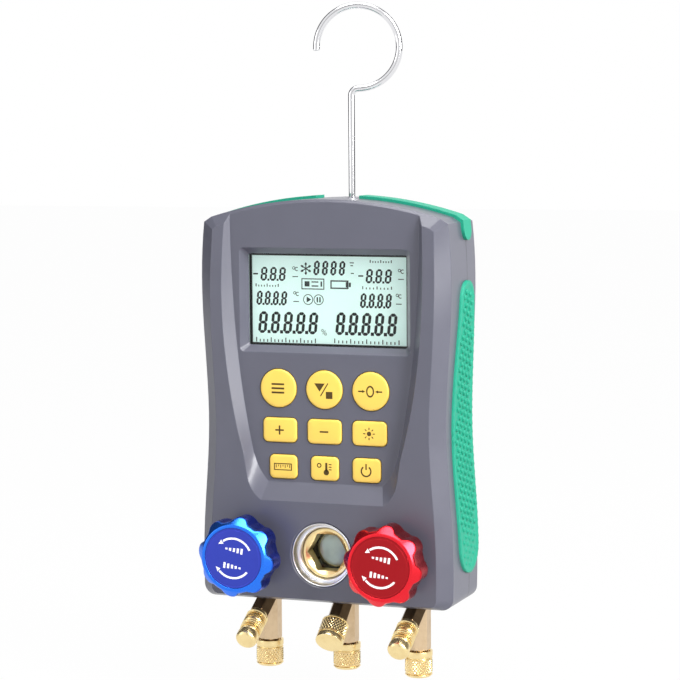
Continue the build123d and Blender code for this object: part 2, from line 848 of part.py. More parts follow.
def make_wheel(x):
    """Hand wheel and the printed disc that is set in its face."""
    wheel = slab(Pos(x, valve_z) * wheel_face(), wheel_back_depth, wheel_front_depth)
    reach = wheel_lobe_reach + wheel_lobe_radius
    fall = reach - wheel_face_radius
    cone = Cone(reach, wheel_face_radius, fall)
    blank = bar(0, 0, reach, wheel_back_depth, wheel_front_depth - fall)
    blank += Plane.XZ.offset(wheel_front_depth - fall / 2) * cone
    back_edge = blank.edges().group_by(Axis.Y)[-1]
    blank = chamfer(back_edge, 1.6)
    wheel = wheel & (Pos(x, 0, valve_z) * blank)
    wheel += bar(x, valve_z, wheel_hub_radius, wheel_back_depth - wheel_hub_length, wheel_back_depth)
    wheel -= bar(x, valve_z, disc_radius + 0.1, wheel_front_depth - disc_recess, wheel_front_depth)
    wheel -= bar(x, valve_z, spindle_radius, wheel_back_depth - wheel_hub_length, wheel_back_depth + 8)
    disc_back = wheel_front_depth - disc_recess
    disc = bar(x, valve_z, disc_radius, disc_back, disc_back + disc_thickness)
    return wheel, disc


def make_sensor(x):
    """Pressure sensor on the block's top: hexagon, can and its plug."""
    base = Pos(x, -port_depth - 2, block_top_z)
    sensor = base * extrude(hex_face(sensor_across_flats), sensor_hex_height)
    sensor += pin(x, port_depth + 2, sensor_can_radius, block_top_z, block_top_z + sensor_height - 3)
    return sensor + pin(x, port_depth + 2, 3.2, block_top_z, block_top_z + sensor_height)


def post_plane(x, depth, root_z, lean):
    """Plane at a post's root: its normal runs down and forward along the post."""
    angle = math.radians(lean)
    return Plane(origin=(x, -depth, root_z), x_dir=(1, 0, 0),
                 z_dir=(0, -math.sin(angle), -math.cos(angle)))


def nipple_end():
    """Length of thread that a cap hides."""
    return cap_height - cap_floor - gasket_thickness - 0.1


def make_port(x, depth, root_z, lean, hex_length, capped):
    """Twin-outlet fitting: an upright hexagon stem and a slanted post from its root."""
    port = pin(x, depth, stub_radius, block_foot_z, block_foot_z + stub_length - 0.5)
    hexagon = hex_face(stem_across_flats, 30)
    port += extrude(Pos(x, -depth, stem_foot_z) * hexagon, block_foot_z - stem_foot_z)
    port += pin(x, depth, thread_radius, stem_foot_z - 0.1 - nipple_end(), stem_foot_z)
    post = post_plane(x, depth, root_z, lean)
    port += post * extrude(hex_face(post_across_flats), hex_length)
    if capped:
        port += post * Pos(0, 0, hex_length) * extrude(Circle(thread_radius), nipple_end() + 0.1)
    else:
        port += post * Pos(0, 0, hex_length) * parking_post()
    return port


def parking_post():
    """Threaded post that a hose end parks on: thread, groove and a rounded nose."""
    groove_start = post_thread_length
    nose_start = groove_start + post_groove_length
    post = extrude(Circle(thread_radius), groove_start)
    post += Pos(0, 0, groove_start) * extrude(Circle(post_groove_radius), post_groove_length)
    nose = Pos(0, 0, nose_start) * extrude(Circle(post_nose_radius), post_nose_length)
    return post + chamfer(nose.edges().group_by(Axis.Z)[-1], post_nose_chamfer)


def make_cap():
    """Knurled cap, mouth at z = 0 and closed end up; returned with its gasket."""
    cap = extrude(Circle(cap_radius), cap_height)
    cap = chamfer(cap.edges().group_by(Axis.Z)[-1], cap_chamfer)
    groove = Pos(0, 0, cap_collar_height) * extrude(
        Circle(cap_radius + 1) - Circle(cap_radius - cap_groove_depth), cap_groove_height)
    cap -= groove
    cap -= extrude(Circle(thread_radius + cap_clearance), cap_height - cap_floor)
    gasket = Pos(0, 0, cap_height - cap_floor - gasket_thickness) * extrude(
        Circle(thread_radius - 0.1), gasket_thickness)
    return cap, gasket


# ---------------------------------------------------------------- assembly

def build():
    parts = {}
    parts["left_grip"], parts["right_grip"] = make_grips()
    parts["left_top_strip"], parts["right_top_strip"] = make_top_strips()
    inlays = [parts[name] for name in ("left_grip", "right_grip", "left_top_strip", "right_top_strip")]
    parts["front_housing"] = make_front_housing(inlays)
    parts["rear_housing"] = make_rear_housing(inlays)
    parts["case_screws"] = make_case_screws()
    parts["display_lens"], parts["display_cell"], parts["display_backlight"] = make_display()
    parts["main_board"] = make_main_board()
    parts["keypad_mat"] = make_keypad_mat()
    parts.update(make_keys())
    parts["hook"] = make_hook()
    parts["hook_collar"] = make_hook_collar()
    parts["hook_guide"] = make_hook_guide()
    parts["battery_cover"] = make_battery_cover()
    parts["battery_cover_screw"] = make_cover_screw()
    parts["battery_cells"] = make_battery_cells()
    parts["battery_contact_foot"], parts["battery_contact_head"] = make_battery_contacts()
    parts["manifold_block"] = make_manifold_block()
    sight = make_sight_glass()
    for name, piece in zip(("sight_bezel", "sight_nut", "sight_glass", "sight_seal"), sight):
        parts[name] = piece
    for side, sign in (("low", -1), ("high", 1)):
        gland, spindle, piston = make_valve(sign * valve_x)
        parts[side + "_gland_nut"] = gland
        parts[side + "_spindle"] = spindle
        parts[side + "_piston"] = piston
        parts[side + "_wheel"], parts[side + "_wheel_disc"] = make_wheel(sign * valve_x)
        parts[side + "_pressure_sensor"] = make_sensor(sign * valve_x)
        parts[side + "_port"] = make_port(sign * port_x, port_depth, post_root_z, post_lean, post_hex_length, False)
    parts["centre_port"] = make_port(0, centre_port_depth, centre_post_root_z, centre_post_lean,
                                     centre_post_hex_length, True)
    cap, gasket = make_cap()
    down = (0, 0, -1)
    centre_post = post_plane(0, centre_port_depth, centre_post_root_z, centre_post_lean)
    cap_planes = {
        "low": Plane((-port_x, -port_depth, stem_foot_z - 0.1), z_dir=down),
        "centre": Plane((0, -centre_port_depth, stem_foot_z - 0.1), z_dir=down),
        "high": Plane((port_x, -port_depth, stem_foot_z - 0.1), z_dir=down),
        "charge": centre_post * Pos(0, 0, centre_post_hex_length + 0.1),
    }
    for name, place in cap_planes.items():
        parts[name + "_cap"] = place * cap
        parts[name + "_cap_gasket"] = place * gasket
    return parts


def write(parts):
    os.makedirs("parts", exist_ok=True)
    for name, shape in parts.items():
        if isinstance(shape, list):
            shape = Compound(children=shape)
        export_step(shape, f"parts/{name}.step")
    print(len(parts), "nodes")


write(build())
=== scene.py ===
# %% [markdown]
# # A refrigerant manifold gauge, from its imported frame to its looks
# The frame holds every sub-part of the gauge at its real size and place, grouped in the bodies that its
# joints move. This lesson dresses it: parts whose form is already right get a finish, and parts that need
# finer form, such as knurled caps, threads, lobed hand wheels and bumpy grips, get a piece of their own
# that stands for the plain one. Everything is in metres, with +Z up and the front facing -Y.

import json
import math

import bmesh
import bpy
from mathutils import Matrix, Vector
from mathutils.bvhtree import BVHTree


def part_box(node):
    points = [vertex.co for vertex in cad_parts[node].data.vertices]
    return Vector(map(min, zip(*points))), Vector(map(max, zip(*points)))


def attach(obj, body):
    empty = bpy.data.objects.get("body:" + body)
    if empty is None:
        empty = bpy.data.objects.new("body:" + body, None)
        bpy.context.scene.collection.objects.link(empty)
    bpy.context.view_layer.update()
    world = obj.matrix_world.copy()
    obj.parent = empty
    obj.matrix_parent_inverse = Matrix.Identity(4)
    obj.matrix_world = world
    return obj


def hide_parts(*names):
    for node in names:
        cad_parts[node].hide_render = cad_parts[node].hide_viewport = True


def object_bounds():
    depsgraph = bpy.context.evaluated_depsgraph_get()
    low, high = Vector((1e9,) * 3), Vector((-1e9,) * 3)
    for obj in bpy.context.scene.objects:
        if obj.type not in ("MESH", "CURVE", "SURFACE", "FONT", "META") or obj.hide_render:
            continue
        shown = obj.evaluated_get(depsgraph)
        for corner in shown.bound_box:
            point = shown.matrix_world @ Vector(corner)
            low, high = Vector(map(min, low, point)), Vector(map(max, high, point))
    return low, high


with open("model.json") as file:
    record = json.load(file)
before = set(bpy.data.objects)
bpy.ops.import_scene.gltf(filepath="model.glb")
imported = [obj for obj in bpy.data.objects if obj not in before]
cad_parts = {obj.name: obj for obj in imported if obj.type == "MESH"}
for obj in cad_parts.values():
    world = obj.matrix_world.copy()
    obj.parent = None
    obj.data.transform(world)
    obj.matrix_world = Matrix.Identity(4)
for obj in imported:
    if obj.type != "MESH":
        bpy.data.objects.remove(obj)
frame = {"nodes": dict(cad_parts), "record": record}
cad_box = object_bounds()
MM = 0.001


# %% [markdown]
# ## Reading places from the frame
# A new piece must sit where the part that it stands for sits, so many places below are read from a node's
# box. "Depth" is the distance forward of the flat back face, so a depth of 40 mm lies at y = -0.040.

# %% Places of nodes
def middle(node):
    low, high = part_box(node)
    return (low + high) / 2


def size_of(node):
    low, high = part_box(node)
    return high - low


def depths(node):
    """Depths of a part's back and front face, in millimetres."""
    low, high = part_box(node)
    return -high.y / MM, -low.y / MM


# %% [markdown]
# ## A small language for finishes
# A finish is a node tree. Wiring one by hand takes many lines, so `Wire` wraps a socket and overloads the
# arithmetic operators: writing `1 - mask * 0.3` adds the Math nodes. `Finish` owns one material and adds
# any other node by its type, its settings and the values of its sockets.

# %% Wires and finishes
class Wire:
    """An output socket that can be used in expressions."""

    def __init__(self, finish, socket):
        self.finish = finish
        self.socket = socket

    def math(self, operation, *others):
        return self.finish.add("Math", {"operation": operation}, *others)

    def __add__(self, other):
        return self.math("ADD", self, other)

    def __sub__(self, other):
        return self.math("SUBTRACT", self, other)

    def __rsub__(self, other):
        return self.math("SUBTRACT", other, self)

    def __mul__(self, other):
        return self.math("MULTIPLY", self, other)

    def __truediv__(self, other):
        return self.math("DIVIDE", self, other)

    def __gt__(self, other):
        return self.math("GREATER_THAN", self, other)

    def __lt__(self, other):
        return self.math("LESS_THAN", self, other)

    __radd__ = __add__
    __rmul__ = __mul__

    def clamped(self):
        return self.math("MINIMUM", self.math("MAXIMUM", self, 0.0), 1.0)

    def away_from(self, value):
        """Distance from a value, on either side."""
        return self.math("ABSOLUTE", self - value)


# A Mix node has sockets for numbers, vectors and colours; these are its factor and its two colours.
MIX_INPUTS, MIX_OUTPUT = (0, 6, 7), 2
WEAR_AND_SHEEN_GAIN = 6.0
WHITE = (1.0, 1.0, 1.0, 1.0)
materials = {}


class Finish:
    """One material: plain values go straight on the shader, varying ones are wired to it."""

    def __init__(self, name, **plain):
        self.material = bpy.data.materials.new(name)
        materials[name] = self.material
        self.material.use_nodes = True
        self.tree = self.material.node_tree
        self.shader = self.tree.nodes["Principled BSDF"]
        for socket_name, value in plain.items():
            self.shader.inputs[socket_name.replace("_", " ")].default_value = value

    def add(self, kind, settings=None, *values, out=0, **named):
        """Add a node. Settings first, then sockets in order or by name; returns one output as a Wire."""
        node = self.tree.nodes.new("ShaderNode" + kind)
        for key, value in (settings or {}).items():
            setattr(node, key, value)
        sockets = list(zip(node.inputs, values))
        sockets += [(node.inputs[key.replace("_", " ")], value) for key, value in named.items()]
        for socket, value in sockets:
            if isinstance(value, Wire):
                self.tree.links.new(value.socket, socket)
            elif value is not None:
                socket.default_value = value
        return Wire(self, node.outputs[out])

    def place(self, scale=(1.0, 1.0, 1.0)):
        """Object coordinates in millimetres, stretched by a scale."""
        coords = self.add("TexCoord", out="Object")
        return self.add("Mapping", {"vector_type": "POINT"}, coords, Scale=[value / MM for value in scale])

    def depth(self, where):
        """Depth forward of the back face, from a place in millimetres."""
        return self.add("SeparateXYZ", None, where, out=1) * -1.0

    def noise(self, where, grain, detail=2.0, rough=0.5):
        """Cloudy value from 0 to 1; grain is the size of a patch in the units of where."""
        return self.add("TexNoise", None, Vector=where, Scale=1.0 / grain, Detail=detail, Roughness=rough,
                        out="Fac")

    def tint(self, factor, first, second):
        """Mix of two colours."""
        mix = self.tree.nodes.new("ShaderNodeMix")
        mix.data_type = "RGBA"
        for index, value in zip(MIX_INPUTS, (factor, first, second)):
            if isinstance(value, Wire):
                self.tree.links.new(value.socket, mix.inputs[index])
            else:
                mix.inputs[index].default_value = value
        return Wire(self, mix.outputs[MIX_OUTPUT])

    def rounded(self, radius):
        """Normal with sharp edges rounded by a radius in millimetres."""
        return self.add("Bevel", {"samples": 6}, Radius=radius * MM)

    def bump(self, height, depth, normal):
        """Normal of a relief on another normal; depth is its full height in millimetres."""
        return self.add("Bump", None, Strength=1.0, Distance=depth * MM, Height=height, Normal=normal)

    # The edge mask lightens colour at edges: partly wear, partly a painted highlight.
    def wear_and_sheen(self, radius):
        """1 on convex and concave edges, 0 on flats."""
        bent = self.rounded(radius)
        plain = self.add("NewGeometry", out="Normal")
        dot = self.add("VectorMath", {"operation": "DOT_PRODUCT"}, bent, plain, out="Value")
        return ((1.0 - dot) * WEAR_AND_SHEEN_GAIN).clamped()

    def wire(self, **varying):
        """Link varying values to the shader."""
        for key, value in varying.items():
            self.tree.links.new(value.socket, self.shader.inputs[key.replace("_", " ")])

    def surface(self, shader):
        """Make a shader the one that is seen."""
        self.tree.links.new(shader.socket, self.tree.nodes["Material Output"].inputs["Surface"])


def shade(colour, factor):
    """A colour made lighter or darker."""
    return (colour[0] * factor, colour[1] * factor, colour[2] * factor, 1.0)


print("helpers ready")


# %% [markdown]
# ## Plastics and rubber
# The case is injection moulded, with a very fine spark-eroded grain: tiny bumps a tenth of a millimetre
# apart, faint clouds in its gloss, and edges painted a little lighter, partly wear where hands polish them
# and partly a painted highlight. The same recipe with other numbers gives the keys and the soft green grips,
# so it is one function.

# %% Moulded plastic
SPLIT_DEPTH, SPLIT_HALF_WIDTH = 22.0, 0.26
CASE_GREY = (0.087, 0.088, 0.116)
GRIP_GREEN = (0.012, 0.285, 0.180)
KEY_YELLOW = (0.81, 0.54, 0.090)


def moulded(name, colour, gloss, grain=0.14, grain_depth=0.012, edge=0.35, edge_wear_and_sheen=1.5, mirror=0.55,
            split=False):
    """Grained plastic or rubber; grain and edge are in millimetres, split adds the seam of the case."""
    finish = Finish(name, Specular_IOR_Level=mirror)
    where = finish.place()
    clouds = finish.noise(where, 14.0, 3.0)
    speckle = finish.noise(where, grain, 2.0, 0.6)
    wear_and_sheen_mask = finish.wear_and_sheen(edge * 1.3)
    base = finish.tint(clouds, shade(colour, 0.93), shade(colour, 1.07))
    # Edges painted lighter: partly wear where hands polish them, partly a painted highlight.
    base = finish.tint(wear_and_sheen_mask * 0.45, base, shade(colour, edge_wear_and_sheen))
    if split:
        seam = finish.depth(where).away_from(SPLIT_DEPTH) < SPLIT_HALF_WIDTH
        base = finish.tint(seam * 0.8, base, shade(colour, 0.15))
    rough = gloss + (clouds - 0.5) * 0.10 + (speckle - 0.5) * 0.06 - wear_and_sheen_mask * 0.06
    relief = finish.bump(speckle, grain_depth, finish.rounded(edge))
    finish.wire(Base_Color=base, Roughness=rough, Normal=relief)


moulded("case_plastic", CASE_GREY, 0.31, edge=0.5, split=True)
moulded("grip_rubber", GRIP_GREEN, 0.50, grain=0.3, grain_depth=0.02, edge=0.45, edge_wear_and_sheen=1.25, mirror=0.3)
moulded("key_plastic", KEY_YELLOW, 0.36, grain=0.2, grain_depth=0.006, edge=0.3, edge_wear_and_sheen=1.05)
moulded("white_plastic", (0.78, 0.78, 0.76), 0.5)
moulded("black_plastic", (0.025, 0.025, 0.028), 0.45)
moulded("mat_rubber", (0.42, 0.42, 0.43), 0.62, grain=0.4)
moulded("seal_rubber", (0.012, 0.012, 0.013), 0.5, grain=0.3)
print(len(materials), "moulded finishes")


# %% [markdown]
# ## Metals
# Machined brass shows fine turning lines and a breath of brown tarnish; drawn steel wire has streaks along
# its length; anodised aluminium is bead blasted, so its colour is deep and its gloss is even. Each is a
# metallic shader whose roughness and relief vary with these marks.

# %% Metal finishes
PAINTED_HIGHLIGHT_DEPTH = 71.2
TURNED = (0.05, 0.05, 7.0)
BLASTED = (6.0, 6.0, 6.0)
DRAWN = (4.0, 4.0, 0.15)
POLISHED = (3.0, 3.0, 0.12)


def metal(name, colour, stain, gloss, line_scale, line_depth, stain_amount=0.5, edge=0.15, edge_wear_and_sheen=1.35,
          painted_highlight=None):
    """Metal whose line_scale stretches fine noise into lines. Stain is the tarnish colour, and
    painted_highlight is a lighter colour painted forward of a depth: a painted highlight on the front chamfer
    of a hand wheel."""
    finish = Finish(name, Metallic=1.0)
    where = finish.place()
    patches = finish.noise(where, 5.0, 4.0, 0.6)
    lines = finish.noise(finish.place(line_scale), 1.0, 2.0)
    wear_and_sheen_mask = finish.wear_and_sheen(edge * 1.5)
    tarnish = ((patches - 0.45) * 3.0).clamped() * stain_amount
    base = finish.tint(tarnish, (*colour, 1.0), (*stain, 1.0))
    # Edges painted lighter: partly wear, partly a painted highlight.
    bright = [min(0.95 / edge_wear_and_sheen, value) for value in colour]
    base = finish.tint(wear_and_sheen_mask * 0.5, base, shade(bright, edge_wear_and_sheen))
    # A lighter colour painted forward of a depth, on the wheel's front chamfer: a painted highlight.
    if painted_highlight:
        highlight_share = (finish.depth(where) - PAINTED_HIGHLIGHT_DEPTH).clamped() * 0.9
        base = finish.tint(highlight_share, base, (*painted_highlight, 1.0))
    rough = gloss + (lines - 0.5) * 0.12 + tarnish * 0.12
    relief = finish.bump(lines, line_depth, finish.rounded(edge))
    finish.wire(Base_Color=base, Roughness=rough, Normal=relief)


metal("brass", (0.88, 0.66, 0.34), (0.55, 0.30, 0.12), 0.22, TURNED, 0.004)
metal("brass_cap", (0.95, 0.76, 0.39), (0.68, 0.46, 0.18), 0.29, BLASTED, 0.004, 0.35)
metal("brass_dark", (0.36, 0.235, 0.12), (0.16, 0.09, 0.045), 0.30, DRAWN, 0.006, 0.6)
metal("brass_stem", (0.70, 0.53, 0.34), (0.45, 0.30, 0.16), 0.34, DRAWN, 0.006, 0.4)
metal("steel", (0.50, 0.51, 0.53), (0.34, 0.33, 0.32), 0.32, TURNED, 0.004, 0.3)
metal("plated_steel", (0.80, 0.80, 0.82), (0.62, 0.62, 0.64), 0.12, POLISHED, 0.002, 0.25)
metal("satin_chrome", (0.84, 0.84, 0.86), (0.66, 0.66, 0.69), 0.30, TURNED, 0.003, 0.25)
metal("blue_anodised", (0.020, 0.060, 0.58), (0.012, 0.03, 0.40), 0.27, BLASTED, 0.006, 0.4, 0.25, 1.5,
      painted_highlight=(0.035, 0.22, 0.98))
metal("red_anodised", (0.58, 0.012, 0.022), (0.38, 0.006, 0.012), 0.27, BLASTED, 0.006, 0.4, 0.25, 1.5,
      painted_highlight=(0.92, 0.030, 0.045))
metal("blue_disc", (0.052, 0.075, 0.50), (0.045, 0.06, 0.43), 0.42, BLASTED, 0.006, 0.3)
metal("red_disc", (0.42, 0.018, 0.024), (0.36, 0.014, 0.019), 0.42, BLASTED, 0.006, 0.3)
print(len(materials), "finishes so far")


# %% [markdown]
# ## Display, glass, board and cells
# The liquid crystal is a pale mint film, a little uneven, with a faint glow painted into it: painted light
# that brightens it in its sunken window. Glass must let light through to what lies behind it, so its shader
# mixes clear transparency with a mirror by Fresnel: this keeps the display bright, where a refracting shader
# would cast a dark shadow on it.

# %% Display and glass
def clear_glass(name, tint, gloss):
    finish = Finish(name)
    clear = finish.add("BsdfTransparent", None, Color=(*tint, 1.0))
    film = finish.noise(finish.place(), 9.0, 2.0)
    mirror = finish.add("BsdfGlossy", None, Color=WHITE, Roughness=gloss)
    fresnel = finish.add("Fresnel", None, IOR=1.45)
    share = (fresnel * (0.35 + film * 0.15)).clamped()
    finish.surface(finish.add("MixShader", None, share, clear, mirror))
    finish.tree.nodes.remove(finish.shader)


def display_film():
    # The mint colour also glows faintly: painted light that brightens the film in its sunken window.
    finish = Finish("display", Roughness=0.35, Specular_IOR_Level=0.3, Emission_Strength=0.22)
    clouds = finish.noise(finish.place(), 30.0, 1.0)
    mint = finish.tint(clouds, (0.70, 0.865, 0.825, 1.0), (0.63, 0.825, 0.775, 1.0))
    finish.wire(Base_Color=mint, Emission_Color=mint, Roughness=0.3 + clouds * 0.1)


def circuit_board():
    """Green lacquer over a pattern of copper fields."""
    finish = Finish("board", Roughness=0.35, Coat_Weight=0.3)
    where = finish.place()
    cells = finish.add("TexBrick", {"offset": 0.5}, Vector=where, Scale=0.25, Mortar_Size=0.04,
                       Color1=(0.012, 0.11, 0.045, 1), Color2=(0.016, 0.14, 0.055, 1),
                       Mortar=(0.03, 0.22, 0.09, 1))
    finish.wire(Base_Color=cells, Roughness=0.3 + finish.noise(where, 3.0) * 0.2)


JACKET_FOOT, JACKET_TOP = -16.0, 18.0


def cell_jacket():
    """A steel can with a dark sleeve between two heights."""
    finish = Finish("cell_jacket", Metallic=0.6)
    where = finish.place()
    height = finish.add("SeparateXYZ", None, where, out=2)
    label = (height > JACKET_FOOT) * (1.0 - (height > JACKET_TOP))
    base = finish.tint(label, (0.55, 0.55, 0.57, 1.0), (0.02, 0.02, 0.024, 1.0))
    finish.wire(Base_Color=base, Roughness=0.25 + finish.noise(where, 2.0) * 0.15)


def ink(name, colour, roughness):
    """Printed or liquid-crystal marks: nearly flat, with slightly uneven density."""
    finish = Finish(name, Specular_IOR_Level=0.1)
    density = finish.noise(finish.place(), 0.8, 2.0)
    base = finish.tint(density, shade(colour, 0.85), shade(colour, 1.15))
    finish.wire(Base_Color=base, Roughness=roughness + density * 0.1)


clear_glass("lens", (0.985, 0.995, 0.99), 0.03)
clear_glass("sight_glass", (0.93, 0.97, 0.95), 0.02)
display_film()
circuit_board()
cell_jacket()
ink("display_ink", (0.006, 0.008, 0.008), 0.6)
ink("display_ink_thin", (0.035, 0.045, 0.042), 0.6)
ink("key_ink", (0.075, 0.050, 0.018), 0.5)
ink("white_ink", (0.88, 0.88, 0.90), 0.45)

slot_of = {part["node"]: part["material_slot"] for part in frame["record"]["subparts"]}
for name, node in frame["nodes"].items():
    node.data.materials.clear()
    node.data.materials.append(materials[slot_of[name]])
print(len(materials), "finishes;", len(slot_of), "nodes dressed")


# %% [markdown]
# ## Meshes made from rings
# Almost every rigid piece here is a stack of rings: a turned cap is round all the way, a hexagon or a
# lobed hand wheel is a turned form cut back to a limit that changes with the angle. So one function joins
# rings, and one makes rings from a profile of (radius, height) pairs. Sharp corners of a profile are
# softened first, because a real machined edge is always broken and catches the light.

# %% Rings and pieces
def seat(origin, axis, side=(1.0, 0.0, 0.0)):
    """Matrix from local millimetres, with z along the axis, to metres in the frame."""
    along = Vector(axis).normalized()
    across = Vector(side)
    across = (across - along * across.dot(along)).normalized()
    columns = (across * MM, along.cross(across) * MM, along * MM)
    matrix = Matrix(columns).transposed().to_4x4()
    matrix.translation = Vector(origin)
    return matrix


def facing(x=0.0, z=0.0):
    """A seat on the back plane, in metres, whose axis points out of the front."""
    return seat((x, 0.0, z), (0.0, -1.0, 0.0))


def in_front(node):
    """The forward seat in line with the middle of a node."""
    centre = middle(node)
    return facing(centre.x, centre.z)


def around(count, radius=1.0):
    """Points of a circle, from the first axis round to the second."""
    return [(radius * math.cos(2 * math.pi * index / count), radius * math.sin(2 * math.pi * index / count))
            for index in range(count)]


def linked(name, data):
    """A new object in the scene."""
    made = bpy.data.objects.new(name, data)
    bpy.context.scene.collection.objects.link(made)
    return made


def piece_from_mesh(name, mesh, finish, body, replaced=(), angle=32.0):
    """Merge doubles, turn faces outwards, smooth, dress and mount a mesh that is already in place. Edges
    sharper than an angle in degrees stay sharp."""
    shape = bmesh.new()
    shape.from_mesh(mesh)
    bmesh.ops.remove_doubles(shape, verts=shape.verts, dist=1e-7)
    bmesh.ops.recalc_face_normals(shape, faces=shape.faces)
    shape.to_mesh(mesh)
    shape.free()
    mesh.shade_smooth()
    mesh.set_sharp_from_angle(angle=math.radians(angle))
    mesh.materials.clear()
    mesh.materials.append(materials[finish])
    made = linked(name, mesh)
    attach(made, body)
    if replaced:
        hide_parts(*replaced)
    return made


def piece(name, points, faces, place, finish, body, replaced=(), slot=None, angle=32.0):
    """A piece from points in the millimetres of a seat."""
    mesh = bpy.data.meshes.new(name)
    mesh.from_pydata([place @ Vector(point) for point in points], [], faces)
    return piece_from_mesh(name, mesh, finish, body, replaced, angle)


def ring(count, height, reach):
    """Points round an axis; reach gives the radius at an angle."""
    angles = [2 * math.pi * index / count for index in range(count)]
    return [(reach(angle) * math.cos(angle), reach(angle) * math.sin(angle), height) for angle in angles]


def joined(rings, closed=False):
    """Points and faces through rings of equal count; open stacks get end faces."""
    count = len(rings[0])
    points = sum(rings, [])
    faces = []
    for row in range(len(rings) if closed else len(rings) - 1):
        low = row * count
        high = (row + 1) % len(rings) * count
        for index in range(count):
            after = (index + 1) % count
            faces.append((low + index, low + after, high + after, high + index))
    if not closed:
        faces += [tuple(range(count)), tuple(range(len(points) - count, len(points)))]
    return points, faces


def softened(profile, radius, steps=3):
    """A profile with its corners rounded."""
    if radius <= 0.0:
        return list(profile)
    points = [Vector(point) for point in profile]
    soft = [points[0]]
    for before, corner, after in zip(points, points[1:], points[2:]):
        reach = min(radius, 0.45 * (corner - before).length, 0.45 * (after - corner).length)
        start = corner + (before - corner).normalized() * reach
        end = corner + (after - corner).normalized() * reach
        for step in range(steps + 1):
            share = step / steps
            soft.append(start.lerp(corner, share).lerp(corner.lerp(end, share), share))
    return soft + [points[-1]]


def divided(profile, length):
    """A profile with its long runs cut to a greatest length."""
    result = [Vector(profile[0])]
    for point in profile[1:]:
        start = result[-1]
        count = max(1, math.ceil((Vector(point) - start).length / length))
        result += [start.lerp(Vector(point), step / count) for step in range(1, count + 1)]
    return result


def flats(count, across, turn=0.0):
    """Limit of a regular polygon: its radius at an angle, with a corner at turn."""
    sector = 2 * math.pi / count
    return lambda angle: across / 2 / math.cos((angle - turn) % sector - sector / 2)


def smaller(first, second, blend):
    """The smaller of two values, rounded where they meet."""
    if blend <= 0.0:
        return min(first, second)
    low = min(first, second)
    return low - blend * math.log(math.exp((low - first) / blend) + math.exp((low - second) / blend))


def turned(name, profile, place, finish, body, replaced=(), limit=None, blend=0.0, soft=0.25, step=0.0,
           closed=False, slot=None, count=96):
    """A piece turned from a profile that starts and ends on its axis, or closes on itself. Its corners
    are softened by a radius, and its runs divided at a step, both in millimetres; a limit gives the
    greatest radius at an angle."""
    profile = softened(profile + profile[:1] if closed else profile, soft)
    if step:
        profile = divided(profile, step)
    if closed:
        profile = profile[:-1]
    rings = []
    for radius, height in profile:
        cut = limit and radius > 0.0
        rings.append(ring(count, height,
                          lambda angle: smaller(radius, limit(angle), blend) if cut else radius))
    return piece(name, *joined(rings, closed), place, finish, body, replaced, slot)


print("ring tools ready")


# %% [markdown]
# ## Hand wheels
# Each wheel is an aluminium blank with eight lobes, turned to a 45 degree chamfer at the front. The lobes
# are a limit on the turned profile: the larger of the body circle and the nearest lobe circle, with the
# hollow between them rounded. Where chamfer and lobes meet, the smaller radius wins, which gives the
# scalloped ring of the real wheel; the chamfer's lighter blue is a painted highlight.

# %% Lobed hand wheels
LOBES = 8
LOBE_RADIUS = 4.5
LOBE_REACH = 15.9
BODY_RADIUS = 17.8
LOBE_TURN = math.radians(-9.0)
HOLLOW_BLEND = 0.55
WHEEL_CHAMFER, BACK_CHAMFER = 3.9, 1.6
HUB_RADIUS, HUB_HEIGHT = 8.0, 3.5
DISC_RADIUS, DISC_GAP, DISC_SINK = 15.0, 0.1, 0.9
WHEEL_FINISH = {"low": "blue_anodised", "high": "red_anodised"}


def lobed(angle):
    """Outline of the wheel: its radius at an angle."""
    sector = 2 * math.pi / LOBES
    off = (angle - LOBE_TURN + sector / 2) % sector - sector / 2
    side = LOBE_REACH * math.sin(off)
    bulge = math.sqrt(max(LOBE_RADIUS ** 2 - side ** 2, 0.0))
    lobe = LOBE_REACH * math.cos(off) + bulge
    return -smaller(-BODY_RADIUS, -lobe, HOLLOW_BLEND)


def hand_wheel(side):
    node = side + "_wheel"
    reach = LOBE_REACH + LOBE_RADIUS
    back, front = depths(node)
    disc_edge, disc_seat = DISC_RADIUS + DISC_GAP, front - DISC_SINK
    hub = back + HUB_HEIGHT
    profile = [(0.0, back), (HUB_RADIUS, back), (HUB_RADIUS, hub), (reach - BACK_CHAMFER, hub),
               (reach, hub + BACK_CHAMFER), (reach, front - WHEEL_CHAMFER), (reach - WHEEL_CHAMFER, front),
               (disc_edge, front), (disc_edge, disc_seat), (0.0, disc_seat)]
    return turned(node + "_lobed", profile, in_front(node), WHEEL_FINISH[side], side + "_valve", [node],
                  limit=lobed, blend=0.22, soft=0.3, step=0.55, count=192)


for side in WHEEL_FINISH:
    made = hand_wheel(side)
    print(made.name, len(made.data.polygons), "faces")


# %% [markdown]
# ## Flat marks
# Printed and liquid-crystal marks are thin plates a few hundredths of a millimetre thick, so they come out
# as real meshes. Each mark is a closed outline; arcs, bars, discs and digit segments are functions that
# return one, and a list of outlines becomes one piece.

# %% Outlines of marks
def turn_outline(outline, degrees):
    cosine, sine = math.cos(math.radians(degrees)), math.sin(math.radians(degrees))
    return [(x * cosine - z * sine, x * sine + z * cosine) for x, z in outline]


def bar_mark(x, z, width, height, turn=0.0):
    corners = [(side * width / 2, level * height / 2) for side, level in ((-1, -1), (1, -1), (1, 1), (-1, 1))]
    return [(x + u, z + v) for u, v in turn_outline(corners, turn)]


def disc_mark(x, z, radius, count=28):
    return [(x + u, z + v) for u, v in around(count, radius)]


